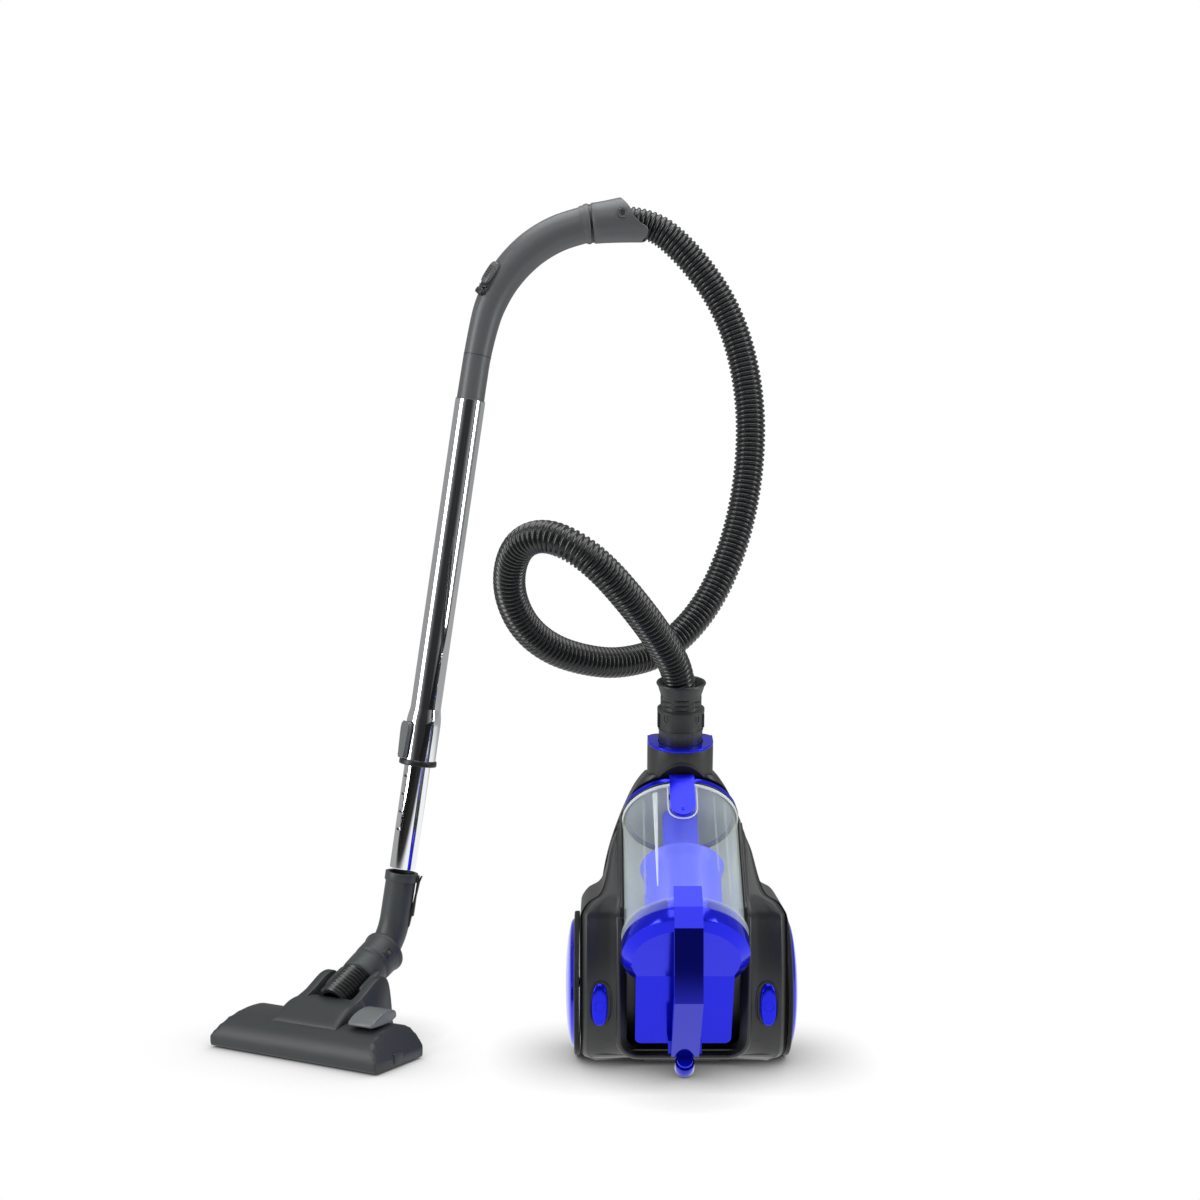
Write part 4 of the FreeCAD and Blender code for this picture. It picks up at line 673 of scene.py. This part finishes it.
def make_wheels():
    """A grooved tyre and a domed hub on either side."""
    tread = [(TREAD_RADIUS - (TREAD_GROOVE if k % 2 else 0), TREAD_FROM + k * TREAD_PITCH) for k in range(9)]
    dome = HUB_RIM + [(HUB_EDGE, HUB_LEVEL)]
    for k in range(1, 8):
        a = k * math.pi / 16
        dome.append((HUB_EDGE * math.cos(a), HUB_LEVEL + HUB_RISE * math.sin(a)))
    for side, word in SIDES:
        axle = place(0, 0, AXLE_Z, "Y", 90 * side)
        tyre = turned(word + "_tyre_ring", TYRE_INNER + tread + TYRE_OUTER, axle, tyre_grey, 160, sharp=60)
        add(tyre, word + "_wheel", word + "_tyre")
        disc = turned(word + "_hub_dome", dome + HUB_MIDDLE, axle, blue, 128, sharp=50)
        add(disc, word + "_wheel", word + "_hub")


def make_buttons():
    """Two domed push buttons with a ring mark, each in a well that follows the pod; the well is black as
    painted shade, drawn out further on the inner side where the shade falls.
    """
    for side, word in ((1, "power"), (-1, "cord")):
        centre = side * KEY_X
        rings = []
        for grow, y in KEY_LAYERS:
            outline = oval_line(centre, KEY_Z, KEY_HALF + grow, KEY_TALL + grow, 2.5)
            rings.append([(x, y, z) for x, z in outline])
        add(skin(word + "_key_face", rings, WHOLE, blue, sharp=60), word + "_key", word + "_button")
        face = place(centre, -98.0, KEY_Z - 2, "X", 90)
        add(turned(word + "_mark", KEY_MARK, face, blue, 48), word + "_key")
        # The well's black is painted shade in the recess, drawn out further on the inner side.
        dark = [(x - side * WELL_SHADE_INNER if (x - centre) * side < 0 else x, z)
                for x, z in oval_line(centre, KEY_Z, WELL_HALF, WELL_TALL, 2.4)]
        rings = []
        for grow, lift in WELL_LAYERS:
            spread = [(centre + (x - centre) * grow, KEY_Z + (z - KEY_Z) * grow) for x, z in dark]
            rings.append([(x, face_y(x, z) - lift, z) for x, z in spread])
        add(skin(word + "_well", rings, WHOLE, black, sharp=60), "canister")


# ---- dust cup ------------------------------------------------------------------------------------------

CUP_WALL = [
    (74.4, 25.2), (75.4, 26.2), (75.4, 37.6), (74.8, 39.0), (72.9, 40.2), (72.0, 41.6), (71.8, 43),
    (71.8, 205.5), (72.7, 207), (73.1, 209.2), (72.7, 211.4), (71.8, 212), (69.6, 212), (69.6, 43.4),
    (70.3, 41.6), (72.4, 40.2), (73.2, 38.4), (73.2, 25.2)]
CUP_EDGE = [(71.9, 207.6), (73.3, 208.4), (73.5, 210), (73.2, 211.5), (71.9, 212)]
CUP_LIP = [(73.6, 39.4), (75.6, 38.6), (75.9, 37.2), (75.5, 36.0), (73.8, 36.4)]
GASKET_RADIUS, GASKET_LEVEL = 73.0, 213.2
LATCH_HALF, LATCH_ROUND = 17.9, 175.2
LATCH_BEAD = 71.5
LATCH_DROP = [(2.6, 0), (2.5, 0.5), (1.8, 0.9), (0.1, 1.0), (0.1, 0)]
RIB_OUT = 69.4
RIB_TOP_IN, RIB_FOOT_IN = 66.4, 67.6
# Name, turn from the front, height of the top, half width there, height of the foot, material.
CUP_RIBS = [("a", -29, 206, 3.0, 66, rib_clear), ("b", -44, 204, 0.6, 60, clear),
            ("c", 36, 204, 0.5, 90, clear), ("d", 52, 204, 0.6, 66, clear)]


def rib_ring(half, inner, z):
    """One end of a rib inside the wall."""
    return [(-half, -RIB_OUT, z), (half, -RIB_OUT, z), (half, -inner, z), (-half, -inner, z)]


def make_cup():
    """The clear wall with its edge, lip and ribs, and the bead round the lid's latch."""
    add(turned("cup_wall", CUP_WALL, CUP, clear, 160, sharp=40), "dust_cup", "clear_cup")
    add(turned("cup_edge", CUP_EDGE, CUP, rib_clear, 160), "dust_cup")
    add(turned("cup_lip", CUP_LIP, CUP, clear, 160), "dust_cup")
    gasket = [on_wall(math.pi * (k / 48 - 0.5), GASKET_RADIUS, GASKET_LEVEL) for k in range(49)]
    add(wire("gasket_line", gasket, 0.9, CUP, black), "dust_cup")
    outline = [(-LATCH_HALF, z) for z in range(207, 176, -6)]
    for k in range(17):
        a = math.pi * k / 16
        outline.append((-LATCH_HALF * math.cos(a), LATCH_ROUND - LATCH_HALF * math.sin(a)))
    outline += [(LATCH_HALF, z) for z in range(177, 208, 6)]
    bead = [on_wall(x / LATCH_BEAD, LATCH_BEAD, z) for x, z in outline]
    add(wire("latch_rib", bead, 1.0, CUP, rib_clear), "dust_cup")
    for word, angle, top, half, foot, mat in CUP_RIBS:
        rings = [rib_ring(0.5, RIB_FOOT_IN, foot), rib_ring(half, RIB_TOP_IN, top)]
        add(skin("cup_rib_" + word, rings, place(0, 0, 0, "Z", angle, CUP), mat), "dust_cup")
    add(turned("latch_drop", LATCH_DROP, place(0, -75.6, 168, "X", 90, CUP), blue, 32), "latch")


# ---- cuff ----------------------------------------------------------------------------------------------

CUFF_RADIUS = 27.9
DOT_TURN, DOT_LEVELS = 28, (13.0, 18.4)
DOT = [(0.9, -0.6), (0.9, 0.3), (0.1, 0.3), (0.1, -0.6)]
ARROW = [(52, 40), (52, 34), (47, 31.5), (42, 34), (42, 40)]
CUFF_LIP = [(28.4, 76.0), (30.3, 77.0), (31.0, 78.4), (30.6, 79.8), (29.2, 80.2), (27.6, 79.0)]


def make_cuff():
    """Two dots and an arrow mark on either side, and the rolled lip."""
    for side in (1, -1):
        for z in DOT_LEVELS:
            spot = place(0, -27.3, z, "X", 90, place(0, 0, 0, "Z", side * DOT_TURN, PORT))
            add(turned("cuff_dot", DOT, spot, black, 20), "cuff")
        mark = [on_wall(math.radians(side * a), CUFF_RADIUS, z) for a, z in ARROW]
        add(wire("cuff_mark", joined_path(mark, 3), 0.45, PORT, charcoal_light, 8), "cuff")
    add(turned("cuff_lip", CUFF_LIP, PORT, charcoal), "cuff")


# ---- hose end collar -----------------------------------------------------------------------------------

# Length of the collar by how far up its mouth a point lies, from -1 to 1.
MOUTH = [(-1, 64.8), (-0.87, 71.5), (-0.6, 73.1), (-0.43, 65.5), (-0.05, 56.4), (0.43, 51.3), (1, 41.3)]
COLLAR_STEPS = 96
COLLAR_RADIUS = 27.0
BOSS = place(-3.5, -27.6, 41.8, "X", 90, GRIP_END)
BOSS_RINGS = [
    ("collar_boss", charcoal_light, 48,
     [(6.8, 0), (6.7, 1.8), (6.1, 2.5), (5.2, 2.4), (4.7, 1.6), (4.6, 0.4), (0.1, 0.4), (0.1, 0)]),
    ("collar_boss_line", black, 48, [(7.5, 0.2), (7.4, 1.6), (6.9, 1.8), (6.8, 0.2)]),
    ("collar_screw", black, 36,
     [(3.3, 0.3), (3.3, 1.4), (2.6, 1.9), (0.9, 1.9), (0.7, 0.9), (0.1, 0.9), (0.1, 0.3)]),
]


def make_collar():
    """The collar, which flares to an S-shaped mouth, and its screw in a boss."""
    rings = []
    for k in range(COLLAR_STEPS + 1):
        a = math.tau * (k % COLLAR_STEPS) / COLLAR_STEPS
        up = -math.cos(a)
        long = along(MOUTH, up)
        spread = 1.5 * smooth(0.2, 1.0, -up)
        ring = [(21.0, 1), (26.0, 1), (COLLAR_RADIUS, 2)]
        ring += [(COLLAR_RADIUS + (3.2 + spread) * t**1.4, 2 + (long - 4) * t)
                 for t in (0.2, 0.4, 0.6, 0.8, 1.0)]
        ring += [(30.1 + spread, long - 0.7), (29.2 + spread, long), (27.9 + spread, long - 0.3),
                 (26.8, long - 2.2), (25.4, long - 12), (21.0, long - 26)]
        rings.append([(r * math.cos(a), r * math.sin(a), z) for r, z in ring])
    add(skin("end_collar", rings, GRIP_END, charcoal_light, closed=False, caps=False, sharp=60),
        "canister", "hose_end_collar")
    for name, mat, steps, outline in BOSS_RINGS:
        add(turned(name, outline, BOSS, mat, steps), "canister")


# ---- grip and its slider -------------------------------------------------------------------------------

GRIP_LINE = [(-275.2, 836.2), (-270.3, 868), (-265.0, 900), (-255.3, 943), (-246.6, 969), (-232.2, 997),
             (-212.9, 1022), (-188.4, 1044), (-158.2, 1061.5), (-124.0, 1072.8), (-112.0, 1075)]
GIRTH = [(0, 18.6), (30, 18.4), (62, 18.4), (100, 19.4), (140, 21.2), (180, 22.8), (230, 23.8),
         (290, 24.2), (400, 24.2)]
SEAM_AT = 63
SLIDER_AT = (-231.8, WAND_Y, 996)
SLIDER_LIFT, SLIDER_BACK = 22.6, 5
SLIDER_RIBS, SLIDER_PITCH = 6, 3.2
GRIP_FLANGE = [(22, -16), (24.2, -15.5), (24.9, -11), (26.3, -8), (27.0, -5.6), (26.8, -3.6),
               (25.8, -2.4), (22, -2.2)]
COLLAR_GROOVE = [(25.3, -2.6), (25.6, -1), (25.5, 0.8), (21, 0.8), (21, -2.6)]


def ring_on_grip(name, path, index, radius, thick, mat):
    """A bead round the grip at one point of its path."""
    ahead = (path[index + 1] - path[index - 1]).normalized()
    across = Vector((0, 1, 0))
    other = ahead.cross(across)
    points = []
    for k in range(65):
        a = math.tau * k / 64
        points.append((path[index] + (across * math.cos(a) + other * math.sin(a)) * radius * MM) / MM)
    add(wire(name, points, thick, WHOLE, mat), "wand_upper")


def make_grip():
    """The bent grip with its seam and foot, and the flange that the hose's collar turns against."""
    path = [MM * Vector(p) for p in joined_path([(x, WAND_Y, z) for x, z in GRIP_LINE], 14)]
    run = run_of(path, MM)
    radii = [MM * along(GIRTH, length) for length in run]
    add(tube_along("grip_tube", path, radii, charcoal_light, 56), "wand_upper", "grip")
    seam = min(range(len(run)), key=lambda i: abs(run[i] - SEAM_AT))
    ring_on_grip("grip_seam", path, seam, 18.4, 0.45, black)
    ring_on_grip("grip_foot", path, 1, 19.0, 1.1, charcoal_light)
    add(turned("grip_flange", GRIP_FLANGE, GRIP_END, charcoal_light, sharp=60), "wand_upper")
    add(turned("collar_groove", COLLAR_GROOVE, GRIP_END, black), "wand_upper")
    make_slider(path)


def make_slider(path):
    """The suction slider in its bed, turned towards the front on the grip's outside."""
    near = min(range(len(path)), key=lambda i: (path[i] / MM - Vector(SLIDER_AT)).length)
    tangent = (path[near + 1] - path[near - 1]).normalized()
    outward = (Vector((-tangent.z, 0, tangent.x)) * 0.70 + Vector((0, -0.71, 0))).normalized()
    across = tangent.cross(outward).normalized()
    thumb = Matrix((across, tangent, outward)).transposed().to_4x4()
    thumb.translation = path[near] / MM + outward * SLIDER_LIFT - tangent * SLIDER_BACK
    add(soft_block("slider_bed", oval_line(0, -3, 9.6, 25, 3.2), -4.0, -0.2, thumb, charcoal, 0.8),
        "wand_upper")
    add(soft_block("slider_body", oval_line(0, 4.5, 7.9, 16.5, 3.4), -1.2, 4.8, thumb, charcoal_light, 1.6),
        "relief", "suction_slider")
    for k in range(SLIDER_RIBS):
        y = -3.0 + SLIDER_PITCH * k
        rib = [(-5.6, y, 4.5), (-3, y, 5.2), (3, y, 5.2), (5.6, y, 4.5)]
        add(wire("slider_rib", rib, 0.75, thumb, charcoal, 8), "relief")
    add(soft_block("slider_hook", oval_line(0, -23.0, 7.6, 4.6, 3.0), -3, 3.0, thumb, black, 1.0),
        "wand_upper")
    add(wire("slider_gap", [(-7.4, -14.4, 0.4), (0, -17.4, 1.8), (7.4, -14.4, 0.4)], 1.5, thumb, black, 8),
        "wand_upper")


# ---- telescopic tube -----------------------------------------------------------------------------------

OUTER_TUBE = [(20.3, 178), (20.8, 180), (20.6, 183), (20.3, 190), (20.2, 636), (19.9, 638.5),
              (18.9, 639.2), (18.7, 178)]
INNER_TUBE = [(17.3, 6), (17.4, 7), (17.4, 468), (16.2, 468), (16.2, 6)]
LOCK_SLEEVE = [(20.3, 222), (20.9, 218), (22.3, 210), (22.8, 205), (22.9, 200), (22.9, 153), (20.5, 153)]
LOCK_EDGE = [(18.6, 145.2), (24.4, 145.2), (25.2, 146.2), (25.2, 150.4), (24.4, 152.2), (22.9, 153),
             (18.6, 153)]
LOCK_CAP = [(-6.0, 157), (-8.2, 192), (-7.0, 199), (-3.0, 202), (5.0, 202), (9.0, 199), (9.6, 192),
            (6.6, 157), (4.6, 155), (-4, 155)]
LOCK_TURN = -52
DENT_TURN = -43
DENT_LEVELS = (58.4, 82.1, 105.9, 130.3)


def make_tubes():
    """Both chromed tubes, the lock with its slider, and the dents that the lock drops into."""
    add(turned("outer_tube", OUTER_TUBE, WAND, chrome, 128, sharp=45), "wand_upper", "upper_tube")
    add(turned("inner_tube", INNER_TUBE, WAND, chrome, 128, sharp=45), "wand_lower", "lower_tube")
    add(turned("lock_sleeve", LOCK_SLEEVE, WAND, chrome, 128, sharp=45), "wand_upper", "lock_ring")
    add(turned("lock_edge", LOCK_EDGE, WAND, black), "wand_upper")
    add(soft_block("lock_cap", LOCK_CAP, -23.6, -29.4, place(0, 0, 0, "Z", LOCK_TURN, WAND), pedal_grey,
                   -1.4, axis="y"), "lock_key", "lock_slider")
    for z in DENT_LEVELS:
        spot = place(0, -17.0, z, "X", 90, place(0, 0, 0, "Z", DENT_TURN, WAND))
        add(soft_block("tube_dent", oval_line(0, 0, 4.0, 2.7, 2.2), -0.3, 0.55, spot, steel, 0.3),
            "wand_lower")
        add(soft_block("tube_dent_shade", oval_line(-0.6, -0.4, 3.0, 1.8, 2.2), 0.0, 0.75, spot, black, 0.2),
            "wand_lower")


# ---- floor head ----------------------------------------------------------------------------------------

# Outlines across the head, as (y, z).
COVER = [(-46, 2.6), (-47.6, 5), (-48.2, 10), (-47.9, 16), (-45.8, 22.5), (-41.5, 28.5), (-35, 33.8),
         (-26, 38.4), (-15, 41.8), (-2, 43.8), (12, 44.3), (26, 43.6), (37, 40.6), (44, 35), (47.4, 27),
         (48, 18), (48, 5), (46, 2.6)]
COVER_LINE = joined_path(COVER, 3)
COVER_TOP = 45.0
SLOPED_FROM = 112
END_SLOPE = 1.48
# (x, share of the depth that is left there)
COVER_STATIONS = both_sides(
    [(x, 1.0) for x in (0, 40, 80, 110, SLOPED_FROM, 113.5, 117, 122, 127, 131)]
    + [(132, 0.985), (132.4, 0.965)])

HUMP = [(-23.4, 33), (-23.2, 39.6), (-22.2, 42.0), (-19, 45.2), (-14, 48.8), (-8, 52.6), (-1, 56.4),
        (6, 59.6), (14, 61.6), (22, 62.4), (31, 62.4), (33.5, 60), (33.5, 30)]
# (x, share of the height above the cover)
HUMP_STATIONS = both_sides([(0, 1), (40, 1), (45, 1), (48.2, 0.92), (50.4, 0.7), (51.6, 0.35), (52, 0.0)])

EAR = [(10, 40), (12, 58), (22, 62.5), (36, 67.5), (50, 75), (62, 81.5), (72, 84.6), (81, 84.6),
       (88, 80.5), (93, 70), (97, 50), (99.5, 28), (100, 10), (72, 8), (46, 10), (30, 22)]
PEDAL = [(-19.6, 47.6), (-20, 49.4), (-18, 52.2), (-10, 57), (2, 61), (14, 62.6), (24, 61.6), (29, 58.8),
         (30.4, 55), (29.6, 51.5), (18, 48), (0, 47)]


def cover_top(y):
    """Height of the cover's outline at a depth."""
    for (y0, z0), (y1, z1) in zip(COVER_LINE, COVER_LINE[1:]):
        if y0 <= y <= y1 and y1 > y0:
            return z0 + (z1 - z0) * (y - y0) / (y1 - y0)
    return 20.0


def make_cover():
    """One outline from end to end, cut down by the slope of the ends and open below."""
    rings = []
    for x, pull in COVER_STATIONS:
        top = COVER_TOP
        if abs(x) > SLOPED_FROM:
            top = COVER_TOP - 0.4 - (abs(x) - SLOPED_FROM) * END_SLOPE
        ring = []
        for y, z in COVER_LINE:
            if z > top:
                z = top - 0.4 * (1 - min(1.0, (z - top) / 8))
            ring.append((x, y * pull, z))
        rings.append(ring)
    add(skin("cover_skin", rings, HEAD, cover_grey, closed=False, sharp=40), "head", "head_cover")
    for low in (-133.6, 128):
        add(soft_block("cover_boss", oval_line(-4, 12, 8, 6.5, 6.0), low, low + 5.6, HEAD, cover_grey, 0.8,
                       axis="x"), "head")


def make_hump():
    """The raised middle; its sides run down into the cover."""
    rings = []
    for x, rise in HUMP_STATIONS:
        ring = []
        for y, z in joined_path(HUMP, 3):
            base = min(z, cover_top(y) - 1.0)
            ring.append((x, y, base + (z - base) * rise))
        rings.append(ring)
    add(skin("cover_hump", rings, HEAD, cover_grey, sharp=45), "head")


def make_head():
    """The cover with its hump, the ears that hold the neck, and the pedal."""
    make_cover()
    make_hump()
    ear_line = looped_path(EAR, 4)
    for word, low, high in (("right", 34, 47), ("left", -47, -34)):
        add(soft_block("ear_" + word, ear_line, low, high, HEAD, cover_grey, 2.6, axis="x"), "head")
    add(soft_block("ear_bridge", oval_line(0, 66, 45, 27, 7), 9, 30, HEAD, cover_grey, 2.0), "head")
    add(soft_block("pedal_cap", looped_path(PEDAL, 4), 67, 105, HEAD, pedal_grey, 2.2, axis="x"),
        "pedal_body", "pedal")


# ---- neck and parking hook -----------------------------------------------------------------------------

# One fold of the bellows as (radius, height).
FOLD = [(20.2, 0), (20.4, 1.2), (22.8, 1.9), (23.6, 2.7), (23.6, 3.3), (22.8, 4.1), (20.4, 4.8)]
FOLD_COUNT = 10
FOLD_PITCH = 5.4
FOLDS_FROM, FOLDS_TO = -33, 21.2
FOLDS_BORE = 16.5
NECK_SLEEVE = [
    (21.5, 20.0), (24.2, 20.2), (25.0, 21.2), (25.6, 26), (26.2, 44), (26.1, 47.5), (25.2, 49.8),
    (25.0, 51.2), (26.0, 52.4), (26.8, 53.4), (27.1, 60), (27.3, 76), (28.2, 78.2), (29.0, 79.6),
    (29.2, 82), (28.8, 84.0), (27.6, 84.6), (26.4, 83.4), (25.2, 74), (22.0, 60), (21.5, 40)]
WINDOW_TURN = -28
WINDOW_LEVEL = 64.5
HOOK = [(-340.5, 199), (-344.0, 191), (-347.5, 176), (-352.5, 155), (-358.6, 132)]
HOOK_HALF = 6


def make_neck():
    """The ribbed bellows, the sleeve on it with its two arms, and the small window in the sleeve."""
    folds = [(FOLDS_BORE, FOLDS_FROM)]
    for k in range(FOLD_COUNT):
        folds += [(r, FOLDS_FROM + FOLD_PITCH * k + z) for r, z in FOLD]
    folds += [(FOLD[0][0], FOLDS_TO), (FOLDS_BORE, FOLDS_TO)]
    add(turned("neck_folds", folds, NECK, rubber, sharp=70), "neck", "bellows")
    add(turned("neck_sleeve", NECK_SLEEVE, NECK, head_grey, 128, sharp=50), "neck", "neck_collar")
    for x in (23.4, -31.6):
        add(soft_block("neck_arm", oval_line(0, 13, 8, 21, 6), x, x + 8.2, NECK, head_grey, 1.5, axis="x"),
            "neck")
    window = place(0, 0, 0, "Z", WINDOW_TURN, NECK)
    for name, half, high, mat, inset in (
            ("neck_window", 6.6, 28.4, head_grey, 0.6), ("neck_window_in", 5.2, 28.8, black, 0.3),
            ("neck_window_key", 2.6, 29.4, charcoal_light, 0.4)):
        add(soft_block(name, oval_line(0, WINDOW_LEVEL, half, half, 7), 25.0, high, window, mat, inset,
                       axis="x"), "neck")


def make_hook():
    """A flat strip behind the elbow, thicker at its free end."""
    rings = []
    for x, z in HOOK:
        thick = 2.0 if (x, z) == HOOK[-1] else 1.4
        near, far = WAND_Y - HOOK_HALF, WAND_Y + HOOK_HALF
        rings.append([(x - thick, near, z), (x + thick, near, z), (x + thick, far, z), (x - thick, far, z)])
    strip = skin("parking_hook", rings, WHOLE, black, sharp=30)
    round_edges(strip, 0.5, 32)
    add(strip, "wand_lower")


# ---- studio, in metres ---------------------------------------------------------------------------------

LAMPS = [
    ("top", (0, 0.1, 2.6), (2.4, 1.8), 42, (0, 0, 0.45)),
    ("left", (-1.9, -0.7, 1.1), (0.7, 2.0), 28, (0, 0, 0.45)),
    ("right", (1.9, -0.7, 1.1), (0.7, 2.0), 28, (0, 0, 0.45)),
    ("front", (-0.2, -2.1, 2.5), (2.2, 1.2), 12, (0, -0.1, 0.2)),
]
CARD_FOOT, CARD_TOP = 0.01, 1.6
CARDS = [("dark_card", (-0.95, -2.5), (0.8, -2.5)), ("side_card", (1.52, -1.2), (1.66, -0.9))]
FLOOR = [(-9, -4, 0), (9, -4, 0), (9, 14, 0), (-9, 14, 0)]


def make_world():
    """White where it is seen directly; as light it is dark in front, so that gloss keeps its edges."""
    world = bpy.data.worlds.new("studio")
    world.use_nodes = True
    tree = world.node_tree
    heading = new_node(tree, "ShaderNodeTexCoord", {}).outputs["Generated"]
    axes = new_node(tree, "ShaderNodeSeparateXYZ", {0: heading})
    surround = tree.nodes["Background"]
    depth = eased(tree, axes.outputs["Y"], -0.97, -0.55, 0.03, 0.34)
    feed(tree, surround, {"Color": WHITE, "Strength": depth})
    seen = new_node(tree, "ShaderNodeBackground", {"Color": WHITE, "Strength": 1.0})
    rays = new_node(tree, "ShaderNodeLightPath", {})
    direct = worked(tree, "MAXIMUM", rays.outputs["Is Camera Ray"], rays.outputs["Is Transmission Ray"])
    mixed = new_node(tree, "ShaderNodeMixShader", {0: direct, 1: surround.outputs[0], 2: seen.outputs[0]})
    feed(tree, tree.nodes["World Output"], {"Surface": mixed.outputs[0]})
    scene.world = world


def make_lamps():
    """Soft lamps, each turned to its aim."""
    for name, where, size, power, aim in LAMPS:
        light = bpy.data.lights.new(name, "AREA")
        light.shape = "RECTANGLE"
        light.size, light.size_y = size
        light.energy = power
        lamp = bpy.data.objects.new(name, light)
        lamp.location = where
        lamp.rotation_euler = (Vector(aim) - Vector(where)).to_track_quat("-Z", "Y").to_euler()
        bpy.context.collection.objects.link(lamp)


def plate(name, corners, mat):
    """A flat piece of the studio."""
    mesh = bpy.data.meshes.new(name)
    mesh.from_pydata(corners, [], [(0, 1, 2, 3)])
    obj = bpy.data.objects.new(name, mesh)
    bpy.context.collection.objects.link(obj)
    mesh.materials.append(mat)
    return obj


def floor_paper():
    """A glowing white with a painted shadow, darkened by ambient occlusion near the object; gloss sees a
    plain fade to the front and far off.
    """
    paper = bpy.data.materials.new("white floor")
    paper.use_nodes = True
    tree = paper.node_tree
    tree.nodes.remove(tree.nodes["Principled BSDF"])
    # The object's shadow on the floor is painted: ambient occlusion dims the floor's glow near it.
    shade = new_node(tree, "ShaderNodeAmbientOcclusion", {"Distance": 0.11}, samples=12)
    painted_shadow = worked(tree, "POWER", shade.outputs["AO"], 1.1)
    spot = new_node(tree, "ShaderNodeNewGeometry", {}).outputs["Position"]
    axes = new_node(tree, "ShaderNodeSeparateXYZ", {0: spot})
    reach = new_node(tree, "ShaderNodeVectorMath", {0: spot}, operation="LENGTH").outputs["Value"]
    in_gloss = worked(tree, "MULTIPLY", eased(tree, axes.outputs["Y"], -0.9, -0.5, 0.03, 1.0),
                      eased(tree, reach, 0.9, 2.2, 1.0, 0.4))
    glossy = new_node(tree, "ShaderNodeLightPath", {}).outputs["Is Glossy Ray"]
    plain = worked(tree, "MULTIPLY", painted_shadow, worked(tree, "SUBTRACT", 1.0, glossy))
    strength = worked(tree, "ADD", plain, worked(tree, "MULTIPLY", in_gloss, glossy))
    glow = new_node(tree, "ShaderNodeEmission", {"Color": WHITE, "Strength": strength})
    feed(tree, tree.nodes["Material Output"], {"Surface": glow.outputs[0]})
    return paper


def make_stage():
    """The floor, and two dark cards that only reflections see."""
    plate("floor", FLOOR, floor_paper())
    dark = material("dark card", (0.01, 0.01, 0.012), 0.8)
    for name, start, end in CARDS:
        corners = [(*start, CARD_FOOT), (*end, CARD_FOOT), (*end, CARD_TOP), (*start, CARD_TOP)]
        card = plate(name, corners, dark)
        card.visible_camera = card.visible_diffuse = card.visible_shadow = card.visible_transmission = False


# ---- the whole -----------------------------------------------------------------------------------------

paint_solids()
round_solids()
set_camera()
make_hose()
make_housing()
make_wheels()
make_buttons()
make_cup()
make_cuff()
make_collar()
make_grip()
make_tubes()
make_head()
make_neck()
make_hook()
make_world()
make_lamps()
make_stage()
